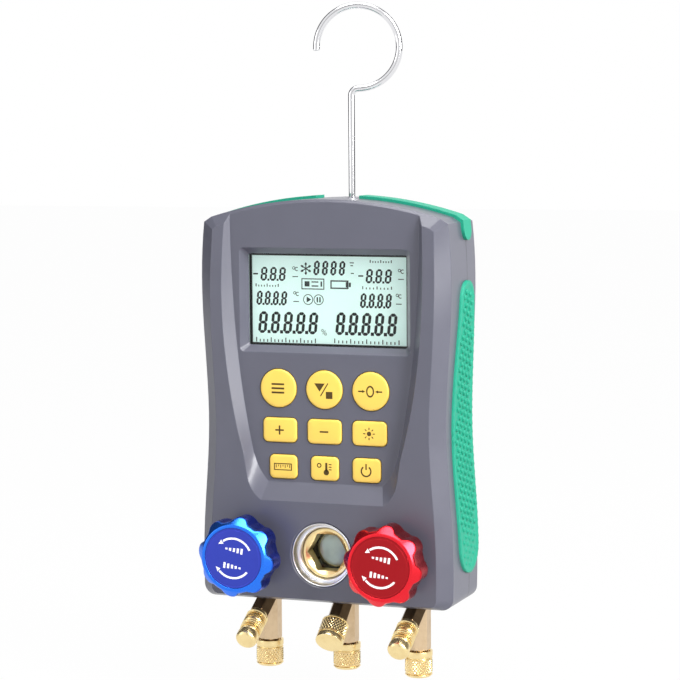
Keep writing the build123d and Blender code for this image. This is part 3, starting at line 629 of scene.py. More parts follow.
def arc_mark(x, z, radius, width, start, end, stretch=1.0):
    """A curved stroke between two angles in degrees."""
    steps = max(4, int(abs(end - start) / 9))
    outer, inner = [], []
    for step in range(steps + 1):
        angle = math.radians(start + (end - start) * step / steps)
        cosine, sine = math.cos(angle), math.sin(angle)
        outer.append((x + stretch * (radius + width / 2) * cosine, z + (radius + width / 2) * sine))
        inner.append((x + (stretch * radius - width / 2) * cosine, z + (radius - width / 2) * sine))
    return outer + inner[::-1]


def ring_mark(x, z, radius, width, stretch=1.0):
    return [arc_mark(x, z, radius, width, start, start + 180, stretch) for start in (0, 180)]


def frame_mark(x, z, width, height, stroke):
    level, side = (height - stroke) / 2, (width - stroke) / 2
    posts = height - 2 * stroke
    return [bar_mark(x, z - level, width, stroke), bar_mark(x, z + level, width, stroke),
            bar_mark(x - side, z, stroke, posts), bar_mark(x + side, z, stroke, posts)]


def arrow_head(x, z, length, direction):
    """A triangle whose tip points in a direction given in degrees."""
    corners = []
    for share, turn in ((0.62, 0), (0.55, 125), (0.55, -125)):
        angle = math.radians(direction + turn)
        corners.append((x + length * share * math.cos(angle), z + length * share * math.sin(angle)))
    return corners


def marks(name, outlines, place, depth, finish, body, slot, thickness=0.03):
    """Thin plates of the given outlines, standing on a plane at a depth."""
    points, faces = [], []
    for outline in outlines:
        start = len(points)
        corners, sides = joined([[(x, z, level) for x, z in outline] for level in (depth, depth + thickness)])
        points += corners
        faces += [tuple(start + index for index in side) for side in sides]
    return piece(name, points, faces, place, finish, body, slot=slot, angle=20.0)


print("mark tools ready")


# %% [markdown]
# ## Wheel discs
# A printed disc sits in each wheel's face: a curved arrow above shows the way that opens the valve, one
# below shows the way that closes it. Between them a row of rising bars stands for more flow and a row of
# falling bars for less. A thin ring near the edge is the turned line of the disc.

# %% Discs with arrows
GROOVE_INSET, GROOVE_HALF_WIDTH, GROOVE_DEPTH = 0.9, 0.25, 0.12
PRINT_TURN = -8.0
ARROW_RADIUS, ARROW_WIDTH = 9.9, 1.05
BAR_PITCH, BAR_WIDTH = 2.05, 1.15
FLOW_HEIGHTS = (0.9, 1.4, 1.9, 2.4, 2.9)
DISC_FINISH = {"low": "blue_disc", "high": "red_disc"}


def flow_bars(z, heights):
    return [bar_mark((index - (len(heights) - 1) / 2) * BAR_PITCH, z, BAR_WIDTH, height)
            for index, height in enumerate(heights)]


def wheel_disc(side):
    node = side + "_wheel_disc"
    body = side + "_valve"
    back, front = depths(node)
    place = in_front(node)
    groove, foot = DISC_RADIUS - GROOVE_INSET, front - GROOVE_DEPTH
    profile = [(0.0, back), (DISC_RADIUS, back), (DISC_RADIUS, front), (groove + GROOVE_HALF_WIDTH, front),
               (groove + GROOVE_DEPTH, foot), (groove - GROOVE_DEPTH, foot),
               (groove - GROOVE_HALF_WIDTH, front), (0.0, front)]
    turned(node + "_plate", profile, place, DISC_FINISH[side], body, [node], soft=0.12, step=3.0, count=120)
    outlines = [arc_mark(0.0, 0.0, ARROW_RADIUS, ARROW_WIDTH, 34, 130), arrow_head(-7.3, 6.7, 2.6, 218),
                arc_mark(0.0, 0.0, ARROW_RADIUS, ARROW_WIDTH, -130, -34), arrow_head(-7.3, -6.7, 2.6, 142)]
    outlines += flow_bars(4.2, FLOW_HEIGHTS) + flow_bars(-4.2, FLOW_HEIGHTS[::-1])
    outlines = [turn_outline(outline, PRINT_TURN) for outline in outlines]
    marks(node + "_print", outlines, place, front, "white_ink", body, DISC_FINISH[side])


for side in DISC_FINISH:
    wheel_disc(side)
print("discs printed")


# %% [markdown]
# ## Sight glass
# A bright plated bezel frames a brass nut with a hexagon socket. The socket has a conical lead-in, so its
# inner rings follow the larger of the hexagon and a cone. Behind the nut a domed glass covers a polished
# bowl in which the fluid runs past a small drilled passage, drawn as a black disc: painted shade where the
# hole is.

# %% Bezel, nut, glass and bowl
sight_place = facing(z=middle("sight_bezel").z)
BEZEL_OUTER = size_of("sight_bezel").x / 2 / MM
BEZEL_BACK, BEZEL_FRONT = 44.5, 49.4
bezel = [(12.75, BEZEL_BACK), (BEZEL_OUTER, BEZEL_BACK), (BEZEL_OUTER, BEZEL_FRONT - 1.7),
         (BEZEL_OUTER - 0.5, BEZEL_FRONT - 0.6), (BEZEL_OUTER - 1.3, BEZEL_FRONT),
         (13.5, BEZEL_FRONT - 0.1), (12.9, 48.6), (12.75, 47.2)]
turned("sight_bezel_ring", bezel, sight_place, "satin_chrome", "case", ["sight_bezel"], soft=0.5,
       closed=True, count=144)

socket = flats(6, 18.0)
NUT_BACK, NUT_FRONT = 39.0, 47.0
LEAD_IN, LEAD_RADIUS = 46.9, 11.2
CONE_DOWN, CONE_IN = 0.28, 0.3


def round_ring(height, radius):
    return ring(144, height, lambda angle: radius)


def socket_ring(height, cone):
    """A ring of the socket where it leaves a cone of the given radius."""
    return ring(144, height, lambda angle: max(socket(angle), cone))


nut_rings = [round_ring(height, radius) for height, radius in (
    (NUT_BACK, 12.6), (46.3, 12.6), (46.75, 12.4), (NUT_FRONT, 12.0), (NUT_FRONT, 11.45),
    (LEAD_IN, LEAD_RADIUS))]
nut_rings += [socket_ring(LEAD_IN - CONE_DOWN * step, LEAD_RADIUS - CONE_IN * step) for step in range(1, 9)]
nut_rings.append(socket_ring(NUT_BACK, 1.0))
piece("sight_nut_socket", *joined(nut_rings, closed=True), sight_place, "brass_cap", "case", ["sight_nut"])
turned("sight_glass_dome", [(0.0, 35.0), (12.4, 35.0), (12.4, 38.3), (8.0, 38.8), (0.0, 39.0)], sight_place,
       "sight_glass", "case", ["sight_glass"], soft=0.6)

bowl = [(0.0, 27.0), (11.0, 30.0), (11.6, 34.8), (11.0, 34.8), (8.6, 32.2), (4.6, 30.8), (0.0, 30.4)]
turned("sight_bowl", bowl, sight_place, "steel", "case", soft=1.4)
# A black disc where the passage opens: painted shade standing for the hole.
marks("sight_passage", [disc_mark(5.0, 3.4, 1.9)], sight_place, 33.3, "display_ink", "case", "seal_rubber",
      0.3)
print("sight glass made")


# %% [markdown]
# ### Liner of the sight opening
# A bright liner fills the gap between the bezel and the case. Its rim has to stay just under the case
# front, which bulges, so the front's depth is measured there with rays against the case's own mesh.

# %% Rays and the liner
def ray_mesh(node):
    """Search tree of a node's surface, for rays in metres."""
    source = frame["nodes"][node]
    world = source.matrix_world
    corners = [world @ vertex.co for vertex in source.data.vertices]
    return BVHTree.FromPolygons(corners, [tuple(face.vertices) for face in source.data.polygons])


LINER_RADIUS, LINER_BACK = 15.82, 46.0
RIM_CLEARANCE, RAY_RADIUS = 0.15, 17.0
case_rays = ray_mesh("front_housing")
rim = math.inf
for x, z in around(4, RAY_RADIUS):
    start = Vector((x * MM, -0.2, middle("sight_bezel").z + z * MM))
    spot = case_rays.ray_cast(start, Vector((0.0, 1.0, 0.0)))[0]
    rim = min(rim, -spot.y / MM - RIM_CLEARANCE)
liner = [(LINER_RADIUS, LINER_BACK), (LINER_RADIUS, rim), (LINER_RADIUS - 0.45, rim),
         (LINER_RADIUS - 0.9, rim - 1.2), (LINER_RADIUS - 1.5, 49.5), (LINER_RADIUS - 1.5, LINER_BACK)]
turned("sight_liner", liner, sight_place, "satin_chrome", "case", soft=0.4, closed=True,
       slot="plated_steel", count=144)
print("liner rim at depth", round(rim, 2))


# %% [markdown]
# ## Copies on seats
# Knurls, grip bumps and screws repeat. Geometry Nodes place them: a mesh of bare points carries two
# directions for each seat, "out" of the surface and "along" it, and the tree puts a template on every
# point, turned to those directions. A tree is written as tables of its nodes and its links, and ends in
# real geometry with one material.

# %% The seated copies tree
def node_group(name, inputs, nodes, links):
    """A Geometry Nodes tree that ends in one mesh. Nodes are rows of name, type, settings and values of
    sockets; links are rows of source, output, target and input."""
    tree = bpy.data.node_groups.new(name, "GeometryNodeTree")
    for label, kind in inputs.items():
        tree.interface.new_socket(label, in_out="INPUT", socket_type="NodeSocket" + kind)
    tree.interface.new_socket("Result", in_out="OUTPUT", socket_type="NodeSocketGeometry")
    made = {}
    for label, kind, settings, values in nodes + FIRST_AND_LAST:
        made[label] = tree.nodes.new(kind)
        for key, value in settings.items():
            setattr(made[label], key, value)
        for key, value in values.items():
            made[label].inputs[key].default_value = value
    for source, output, target, entry in links + LAST_LINKS:
        tree.links.new(made[source].outputs[output], made[target].inputs[entry])
    return tree


# Each tree makes its copies or its sweep real, gives it its material and hands it over.
FIRST_AND_LAST = (
    ("start", "NodeGroupInput", {}, {}), ("real", "GeometryNodeRealizeInstances", {}, {}),
    ("dress", "GeometryNodeSetMaterial", {}, {}), ("end", "NodeGroupOutput", {}, {}))
LAST_LINKS = (
    ("real", "Geometry", "dress", "Geometry"), ("start", "Finish", "dress", "Material"),
    ("dress", "Geometry", "end", "Result"))

copies_tree = node_group(
    "seated_copies", {"Seats": "Geometry", "Template": "Object", "Size": "Float", "Finish": "Material"},
    (("template", "GeometryNodeObjectInfo", {}, {}),
     ("outward", "GeometryNodeInputNamedAttribute", {"data_type": "FLOAT_VECTOR"}, {"Name": "out"}),
     ("along", "GeometryNodeInputNamedAttribute", {"data_type": "FLOAT_VECTOR"}, {"Name": "along"}),
     ("stand", "FunctionNodeAlignRotationToVector", {"axis": "Z"}, {}),
     ("spin", "FunctionNodeAlignRotationToVector", {"axis": "X", "pivot_axis": "Z"}, {}),
     ("place", "GeometryNodeInstanceOnPoints", {}, {})),
    (("start", "Template", "template", "Object"), ("outward", "Attribute", "stand", "Vector"),
     ("stand", "Rotation", "spin", "Rotation"), ("along", "Attribute", "spin", "Vector"),
     ("start", "Seats", "place", "Points"), ("template", "Geometry", "place", "Instance"),
     ("spin", "Rotation", "place", "Rotation"), ("start", "Size", "place", "Scale"),
     ("place", "Instances", "real", "Geometry")))


def tree_result(name, carrier, tree, values):
    """The plain mesh that a tree makes on a carrier object, with inputs given by label."""
    modifier = carrier.modifiers.new(tree.name, "NODES")
    modifier.node_group = tree
    for item in tree.interface.items_tree:
        if item.item_type == "SOCKET" and item.in_out == "INPUT" and item.name in values:
            modifier[item.identifier] = values[item.name]
    bpy.context.view_layer.update()
    view = bpy.context.evaluated_depsgraph_get()
    mesh = bpy.data.meshes.new_from_object(carrier.evaluated_get(view), depsgraph=view)
    mesh.name = name
    bpy.data.objects.remove(carrier)
    return mesh


def copies(name, seats, template, finish, body, replaced=(), angle=32.0):
    """Copies of a template (points and faces in millimetres) on seats (place in metres, out, along)."""
    shape = bpy.data.meshes.new(name + "_template")
    shape.from_pydata([Vector(point) * MM for point in template[0]], [], template[1])
    model = linked(name + "_template", shape)
    cloud = bpy.data.meshes.new(name)
    cloud.from_pydata([entry[0] for entry in seats], [], [])
    for label, index in (("out", 1), ("along", 2)):
        layer = cloud.attributes.new(label, "FLOAT_VECTOR", "POINT")
        layer.data.foreach_set("vector", [value for entry in seats for value in entry[index]])
    values = {"Template": model, "Size": 1.0, "Finish": materials[finish]}
    mesh = tree_result(name, linked(name + "_seats", cloud), copies_tree, values)
    bpy.data.objects.remove(model)
    return piece_from_mesh(name, mesh, finish, body, replaced, angle=angle)


print("seated copies:", len(copies_tree.nodes), "nodes")


# %% [markdown]
# ## Caps
# A cap is turned with a plain collar, a groove and a body that a roller has pressed into diamonds. The
# turned part stops at the root of the knurl, and a pyramid of five faces stands on each seat of a
# staggered pattern around it: the pattern has over a hundred seats, so its template stays that small.

# %% Knurled caps
CAP_RADIUS = 7.05
CAP_LENGTH = 13.2
CAP_BORE, BORE_DEPTH = 5.66, 11.5
KNURL_ROOT = 6.42
KNURL_AROUND = 26
KNURL_LENGTH = 2.1
KNURL_START, KNURL_END = 4.2, 11.7
CHARGE_LEAN = math.radians(50.0)
DOWN = (0.0, 0.0, -1.0)
cap_axes = {"low": DOWN, "centre": DOWN, "high": DOWN,
            "charge": (0.0, -math.sin(CHARGE_LEAN), -math.cos(CHARGE_LEAN))}


def sleeve(name, place, radius, start, end, body, slot, lift=0.2):
    """A skin of plain brass in the troughs of a knurl or thread, darker than cap brass ridges: painted shade.
    """
    skin = [(radius - 0.1, start), (radius + lift, start), (radius + lift, end), (radius - 0.1, end)]
    return turned(name, skin, place, "brass", body, soft=0.0, closed=True, slot=slot, count=64)


def knurl_seats(place, axis, first_row):
    """Staggered rows of seats round a cap, from the depth of the first row."""
    turn = place.to_3x3().normalized()
    half_length = KNURL_LENGTH / 2
    seats = []
    for row in range(int((KNURL_END - KNURL_START - KNURL_LENGTH) / half_length) + 1):
        height = first_row + half_length * (row + 1)
        for index in range(KNURL_AROUND):
            angle = 2 * math.pi * (index + 0.5 * (row % 2)) / KNURL_AROUND
            out = Vector((math.cos(angle), math.sin(angle), 0.0))
            seats.append((place @ (out * KNURL_ROOT + Vector((0, 0, height))), turn @ out, Vector(axis)))
    return seats


def knurled_cap(label):
    body = label + "_cap"
    axis = cap_axes[label]
    place = seat(middle(body) - Vector(axis) * CAP_LENGTH / 2 * MM, axis)
    inside = [(0.0, BORE_DEPTH), (CAP_BORE, BORE_DEPTH), (CAP_BORE, 0.4), (CAP_BORE + 0.4, 0.0)]
    outside = [(CAP_RADIUS, 0.0), (CAP_RADIUS, 2.8), (CAP_RADIUS - 0.75, 2.8), (CAP_RADIUS - 0.75, 3.7),
               (CAP_RADIUS - 0.1, 3.7), (CAP_RADIUS - 0.1, 4.1), (KNURL_ROOT, 4.3), (KNURL_ROOT, 11.6),
               (CAP_RADIUS - 0.1, 11.8), (CAP_RADIUS - 0.1, 12.1), (CAP_RADIUS - 1.2, CAP_LENGTH)]
    first_row = KNURL_START
    if label == "charge":  # its collar is at the closed end
        outside = [(radius, CAP_LENGTH - height) for radius, height in reversed(outside)]
        first_row = CAP_LENGTH - KNURL_END
    profile = inside + outside + [(0.0, CAP_LENGTH)]
    turned(body + "_turned", profile, place, "brass_cap", body, [body], soft=0.22)
    last_row = first_row + KNURL_END - KNURL_START
    # A darker brass skin at the knurl's root: painted shade between the diamonds.
    sleeve(body + "_knurl_root", place, KNURL_ROOT, first_row + 0.1, last_row - 0.2, body, "brass_cap")
    half_width = math.pi * KNURL_ROOT / KNURL_AROUND
    corners = [(KNURL_LENGTH / 2, 0.0, 0.0), (0.0, half_width, 0.0), (-KNURL_LENGTH / 2, 0.0, 0.0),
               (0.0, -half_width, 0.0), (0.0, 0.0, CAP_RADIUS - KNURL_ROOT)]
    diamond = (corners, [(0, 1, 4), (1, 2, 4), (2, 3, 4), (3, 0, 4), (3, 2, 1, 0)])
    seats = knurl_seats(place, axis, first_row)
    return copies(body + "_knurl", seats, diamond, "brass_cap", body, angle=10.0)


for label in cap_axes:
    knurl = knurled_cap(label)
print("knurl faces on a cap:", len(knurl.data.polygons))


# %% [markdown]
# ## Threads and fittings
# Each fitting is brass bar: an upright hexagon with a capped thread below, and a slanted hexagon post. The
# outer two posts are bare, with a thread, a groove and a rounded nose. A thread is a spiral with a diamond
# section swept along it, and that rule is a small tree of its own.

# %% The thread tree
SPIRAL_STEPS = 40
THREAD_RADIUS = 5.556
THREAD_PITCH = 1.27
RIDGE = 0.45
CORE = THREAD_RADIUS - 2 * RIDGE + 0.2
ridge_tree = node_group(
    "thread_ridge", {"Radius": "Float", "Pitch": "Float", "Turns": "Float", "Ridge": "Float",
                     "Finish": "Material"},
    (("spiral", "GeometryNodeCurveSpiral", {}, {"Resolution": SPIRAL_STEPS}),
     ("height", "ShaderNodeMath", {"operation": "MULTIPLY"}, {}),
     ("section", "GeometryNodeCurvePrimitiveCircle", {}, {"Resolution": 4}),
     ("sweep", "GeometryNodeCurveToMesh", {}, {"Fill Caps": True})),
    (("start", "Turns", "spiral", "Rotations"), ("start", "Radius", "spiral", "Start Radius"),
     ("start", "Radius", "spiral", "End Radius"), ("start", "Pitch", "height", 0),
     ("start", "Turns", "height", 1), ("height", 0, "spiral", "Height"),
     ("start", "Ridge", "section", "Radius"), ("spiral", "Curve", "sweep", "Curve"),
     ("section", "Curve", "sweep", "Profile Curve"), ("sweep", "Mesh", "real", "Geometry")))


def thread(name, place, start, length, finish, body):
    """A helical ridge from start to start + length along a seat's axis."""
    carrier = linked(name, bpy.data.meshes.new(name))
    # A plain brass skin at the thread's core: painted shade in the troughs where the ridge is cap brass.
    sleeve(name + "_root", place, CORE, start + 0.2, start + length - 0.2, body, finish, 0.12)
    turns = (length - 2 * RIDGE) / THREAD_PITCH
    values = {"Radius": THREAD_RADIUS - RIDGE, "Pitch": THREAD_PITCH, "Turns": turns, "Ridge": RIDGE,
              "Finish": materials[finish]}
    mesh = tree_result(name, carrier, ridge_tree, values)
    mesh.transform(place @ Matrix.Translation((0.0, 0.0, start + RIDGE)))
    return piece_from_mesh(name, mesh, finish, body, angle=20.0)


print("thread tree:", len(ridge_tree.nodes), "nodes")


# %% [markdown]
# ### The three fittings
# Two fittings are alike and the middle one is shorter and capped at both ends, so their sizes stand in a
# table and one function turns each from its row.

# %% Fittings
STEM_TOP, STEM_FOOT = 94.0, 126.4
STEM_FLATS, POST_FLATS = 11.0, 9.2
NIPPLE = 10.4
# Sideways place, depth, height of the post's root, lean in degrees, length of the hexagon, capped post.
fittings = {
    "low": (-40.5, 24.0, -102.5, 60.0, 17.8, False),
    "centre": (0.0, 19.0, -100.4, 50.0, 20.3, True),
    "high": (40.5, 24.0, -102.5, 60.0, 17.8, False),
}


def nipple(foot):
    """Profile of a threaded end below a shoulder."""
    return [(CORE, foot + NIPPLE - 0.8), (CORE - 0.7, foot + NIPPLE), (0.0, foot + NIPPLE)]


def fitting(label):
    x, depth, root, lean, hexagon, capped = fittings[label]
    node = label + "_port"
    down = seat((x * MM, -depth * MM, 0.0), DOWN)
    stem = [(0.0, STEM_TOP), (6.35, STEM_TOP), (6.35, STEM_FOOT - 0.8), (5.3, STEM_FOOT), (CORE, STEM_FOOT)]
    turned(node + "_stem", stem + nipple(STEM_FOOT), down, "brass_stem", "case", [node],
           limit=flats(6, STEM_FLATS, math.radians(30)), blend=0.05, soft=0.15)
    thread(node + "_stem_thread", down, STEM_FOOT + 0.3, NIPPLE - 0.6, "brass", "case")
    angle = math.radians(lean)
    slant = seat((x * MM, -depth * MM, root * MM), (0.0, -math.sin(angle), -math.cos(angle)))
    post = [(0.0, 1.0), (5.31, 1.0), (5.31, hexagon - 0.7), (4.5, hexagon), (0.0, hexagon)]
    turned(node + "_post", post, slant, "brass_dark", "case", limit=flats(6, POST_FLATS), blend=0.05,
           soft=0.15)
    end = [(0.0, hexagon - 1.0), (CORE, hexagon - 1.0)]
    if capped:
        end += nipple(hexagon)
        thread_length = NIPPLE - 0.6
    else:
        groove = hexagon + 13.5
        end += [(CORE, groove - 0.2), (4.6, groove), (4.6, groove + 1.0), (5.45, groove + 1.2),
                (5.45, groove + 4.9), (4.2, groove + 6.3), (0.0, groove + 6.3)]
        thread_length = 12.9
    turned(node + "_end", end, slant, "brass_cap", "case", soft=0.75, slot="brass")
    thread(node + "_post_thread", slant, hexagon + 0.3, thread_length, "brass_cap", "case")


for label in fittings:
    fitting(label)
print(len(fittings), "fittings")


# %% [markdown]
# ## Keys
# Nine yellow keys stand a little out of the sunken panel. Each is a stack of outlines that shrink
# inwards: a flange behind the panel, a straight wall, a rolled edge and a barely domed top. The outline is
# a circle or a rounded rectangle, sampled by the same number of points at every inset.

# %% Domed keys
KEY_TOP = 48.88
FLANGE_BACK, FLANGE_FRONT = 44.5, 45.5
KEY_ROWS = (("key_function", "key_run_stop", "key_zero"), ("key_up", "key_down", "key_light"),
            ("key_unit", "key_temperature", "key_power"))
# Width, height and corner radius of the keys in each row.
KEY_SIZES = ((19.2, 19.2, 9.6), (18.0, 12.2, 2.6), (14.8, 12.0, 2.6))
# Pairs of inset and depth, from the flange to the middle of the dome.
KEY_PROFILE = ((-1.0, FLANGE_BACK), (-1.0, FLANGE_FRONT), (0.0, FLANGE_FRONT), (0.0, 48.0), (0.10, 48.3),
               (0.32, 48.53), (0.7, 48.67), (1.4, 48.77), (2.6, 48.84), (4.2, KEY_TOP))
PLUNGER_RADIUS = 3.0
LEAST_CORNER = 0.25


def rounded_outline(width, height, corner, inset, steps=12):
    """A rounded rectangle, or a circle where the corner is half the width, drawn in by an inset."""
    half_width, half_height = width / 2 - inset, height / 2 - inset
    radius = max(corner - inset, LEAST_CORNER)
    outline = []
    for quarter, (side_x, side_z) in enumerate(((1, 1), (-1, 1), (-1, -1), (1, -1))):
        for step in range(steps):
            angle = math.pi / 2 * (quarter + step / (steps - 1))
            outline.append((side_x * (half_width - radius) + radius * math.cos(angle),
                            side_z * (half_height - radius) + radius * math.sin(angle)))
    return outline


def key_cap(node, size):
    """A key with its round plunger behind the flange."""
    outlines = [(around(48, PLUNGER_RADIUS), depth) for depth in (depths(node)[0], FLANGE_BACK)]
    outlines += [(rounded_outline(*size, inset), depth) for inset, depth in KEY_PROFILE]
    rings = [[(x, z, depth) for x, z in outline] for outline, depth in outlines]
    return piece(node + "_domed", *joined(rings), in_front(node), "key_plastic", node, [node], angle=40.0)


for row, size in zip(KEY_ROWS, KEY_SIZES):
    for node in row:
        made = key_cap(node, size)
print("keys made,", len(made.data.polygons), "faces each")


# %% [markdown]
# ## Key legends
# The legends are symbols in dark ink: a menu, run and stop, back to zero, plus, minus, lamp, ruler for
# units, thermometer and power. Being plates on the key body, they sink with their key.

# %% Symbols on the keys
def sun(radius=1.15, inner=1.9, outer=3.1):
    rays = [bar_mark(u, v, outer - inner, 0.5, 45 * index)
            for index, (u, v) in enumerate(around(8, (inner + outer) / 2))]
    return [disc_mark(0.0, 0.0, radius)] + rays


def ruler():
    outlines = frame_mark(0.0, 0.0, 9.6, 3.6, 0.5)
    for index in range(7):
        extra = 0.0 if index % 2 else 0.6
        outlines.append(bar_mark(-3.6 + 1.2 * index, 0.55 - extra / 2, 0.4, 1.0 + extra))
    return outlines


key_symbols = {
    "key_function": [bar_mark(0.0, z, 6.8, 0.95) for z in (2.1, 0.0, -2.1)],
    "key_run_stop": [[(-5.0, 3.2), (0.6, 3.2), (-2.2, -0.9)], bar_mark(0.3, 0.1, 0.6, 7.6, -32),
                     bar_mark(2.9, -2.6, 3.5, 3.5)],
    "key_zero": ring_mark(0.0, 0.0, 2.5, 0.85, 0.72) + [
        bar_mark(-5.0, 0.0, 2.6, 0.7), arrow_head(-3.6, 0.0, 1.7, 0),
        bar_mark(5.0, 0.0, 2.6, 0.7), arrow_head(3.6, 0.0, 1.7, 180)],
    "key_up": [bar_mark(0.0, 0.0, 4.6, 0.85), bar_mark(0.0, 1.36, 0.85, 1.87),
               bar_mark(0.0, -1.36, 0.85, 1.87)],
    "key_down": [bar_mark(0.0, 0.0, 4.6, 0.85)],
    "key_light": sun(),
    "key_unit": ruler(),
    "key_temperature": ring_mark(-2.7, 1.6, 0.95, 0.55) + [
        bar_mark(1.1, 0.9, 1.15, 4.2), disc_mark(1.1, -1.8, 1.45), bar_mark(3.1, 2.2, 1.5, 0.5),
        bar_mark(3.1, 0.9, 1.5, 0.5), bar_mark(3.1, -0.4, 1.5, 0.5)],
    "key_power": [arc_mark(0.0, -0.3, 2.5, 0.75, 125, 415), bar_mark(0.0, 1.9, 0.75, 3.0)],
}
for node, outlines in key_symbols.items():
    marks(node + "_symbol", outlines, in_front(node), KEY_TOP - 0.03, "key_ink", node, "key_plastic", 0.05)
print(len(key_symbols), "legends printed")


# %% [markdown]
# ## Display
# Every segment of the display is lit, as in its self test: two large five-digit readings, four small ones,
# a four-digit count beside a snowflake, a status box, a battery and run and pause signs. A digit is seven
# slanted bars with pointed ends. Unit places carry short scale ticks.

# %% Segments of the display
SLANT = 0.105
# Shares of a digit's pitch: its width, its middle and the middle of the point after it.
DIGIT_WIDTH, DIGIT_MIDDLE, POINT_MIDDLE = 0.68, 0.46, 0.93
# Shares of a digit's height: the point and the stroke. The gap between segments is a share of the stroke.
POINT_SIZE, STROKE, SEGMENT_GAP = 0.15, 0.15, 0.04


def segment(start, end, stroke):
    """A bar with pointed ends between two points."""
    along = Vector((end[0] - start[0], end[1] - start[1])).normalized() * stroke / 2
    across = Vector((-along.y, along.x))
    first, last = Vector(start), Vector(end)
    outline = [first, first + along + across, last - along + across, last, last - along - across,
               first + along - across]
    return [(point.x, point.y) for point in outline]


def digit(x, z, width, height, stroke):
    """Seven lit segments; x and z give the middle."""
    left, right = -width / 2 + stroke / 2, width / 2 - stroke / 2
    top, foot, gap = height / 2 - stroke / 2, -height / 2 + stroke / 2, stroke * SEGMENT_GAP
    runs = [((left + gap, level), (right - gap, level)) for level in (top, 0.0, foot)]
    for side in (left, right):
        runs += [((side, gap), (side, top - gap)), ((side, foot + gap), (side, -gap))]
    return [[(x + u + v * SLANT, z + v) for u, v in segment(start, end, stroke)] for start, end in runs]


def reading(left, top, right, foot, count, points=0, stroke=STROKE):
    """A row of digits in a box, with decimal points after the first few."""
    height, pitch = top - foot, (right - left) / count
    dot = height * POINT_SIZE
    result = []
    for index in range(count):
        x = left + pitch * (index + DIGIT_MIDDLE)
        result += digit(x, (top + foot) / 2, pitch * DIGIT_WIDTH, height, height * stroke)
        if index < points:
            result.append(bar_mark(left + pitch * (index + POINT_MIDDLE), foot + dot / 2, dot, dot))
    return result


def ticks(left, top, right, foot, count=17, width=0.55):
    """A small scale: short ticks, every fourth one long."""
    pitch, height = (right - left) / (count - 1), top - foot
    result = []
    for index in range(count):
        level, share = (0.3, 0.6) if index % 4 else (0.5, 1.0)
        result.append(bar_mark(left + pitch * index, foot + height * level, width, height * share))
    return result


def snowflake(x, z, radius):
    arms = [bar_mark(x, z, 2 * radius, 0.55, 30 + 60 * index) for index in range(3)]
    for index in range(6):
        angle = math.radians(30 + 60 * index)
        fork_x, fork_z = x + 0.72 * radius * math.cos(angle), z + 0.72 * radius * math.sin(angle)
        arms += [bar_mark(fork_x, fork_z, 0.42 * radius, 0.42, 30 + 60 * index + turn) for turn in (-55, 55)]
    return arms


BOLD = 0.138
readings = [bar_mark(-39.2, 62.8, 2.6, 0.75), bar_mark(17.0, 62.6, 2.6, 0.75)]
# Left, top, right and foot of each reading, its digits, decimal points and stroke.
for row in ((-38.5, 44.0, -4.7, 33.1, 5, 4, BOLD), (3.0, 44.4, 37.0, 33.1, 5, 4, BOLD),
            (-36.9, 66.3, -22.0, 59.4, 3, 2), (19.2, 66.1, 34.1, 59.1, 3, 2),
            (-39.2, 54.3, -21.5, 47.2, 4, 3), (16.2, 54.1, 33.9, 46.8, 4, 3), (-8.4, 69.8, 9.6, 62.6, 4)):
    readings += reading(*row)

snow = snowflake(-12.1, 65.8, 3.1)
status_box = frame_mark(-8.4, 58.2, 12.2, 5.5, 0.5)
battery = frame_mark(5.7, 58.1, 9.6, 4.3, 0.7)
run_sign = ring_mark(-11.0, 50.4, 2.45, 0.4) + [[(-11.8, 51.9), (-9.4, 50.4), (-11.8, 48.9)]]
pause_sign = ring_mark(-5.4, 50.4, 2.45, 0.4)
percent = ring_mark(-3.4, 35.1, 0.55, 0.3) + ring_mark(-1.9, 33.4, 0.55, 0.3)
signs = snow + status_box + battery + run_sign + pause_sign + percent
# Centre, width and height of the small bars in the status box, the battery, the pause sign and elsewhere.
for bar in ((-11.5, 58.2, 2.6, 2.6), (-7.3, 59.2, 3.6, 0.6), (-7.3, 57.2, 3.6, 0.6), (-3.9, 58.2, 0.8, 2.6),
            (11.2, 58.1, 1.1, 2.2), (9.5, 58.1, 0.9, 2.6), (-6.1, 50.4, 0.75, 2.6), (-4.7, 50.4, 0.75, 2.6),
            (-2.65, 34.25, 2.6, 0.3, 48), (12.3, 69.0, 2.2, 0.5), (12.3, 67.6, 1.4, 0.5),
            (12.6, 63.8, 1.6, 0.5)):
    signs.append(bar_mark(*bar))
for x, z in ((-18.6, 66.0), (37.2, 65.6), (-18.2, 53.6), (36.0, 53.4)):
    signs += ring_mark(x, z, 0.62, 0.34) + [arc_mark(x + 1.6, z - 0.5, 0.85, 0.4, 50, 310)]
    signs.append(bar_mark(x + 0.8, z - 4.3, 3.0, 0.45))
for scale in ((-39.0, 31.0, -7.3, 28.7), (3.0, 31.3, 36.8, 29.0), (-39.0, 57.9, -27.0, 56.4, 9),
              (18.0, 57.6, 33.0, 56.1, 9), (22.0, 70.6, 33.0, 69.2, 9)):
    signs += ticks(*scale)

CELL_FRONT = depths("display_cell")[1]
BORDER_WIDTH, BORDER_HEIGHT, BORDER_STROKE = 84.8, 46.7, 1.5
glass = middle("display_lens")
border = frame_mark(glass.x / MM, glass.z / MM, BORDER_WIDTH, BORDER_HEIGHT, BORDER_STROKE)
front = facing()
marks("display_border", border, front, CELL_FRONT + 0.3, "display_ink", "case", "display", 0.05)
marks("display_readings", readings, front, CELL_FRONT, "display_ink", "case", "display", 0.02)
marks("display_signs", signs, front, CELL_FRONT, "display_ink_thin", "case", "display", 0.02)
print("display segments:", len(readings), "signs:", len(signs))


# %% [markdown]
# ## Hook
# One length of drawn steel wire: an upset head inside the case, a straight stem, a tight bend and a round
# loop. The wire is a ring carried along that path, so its section stays round through both bends.

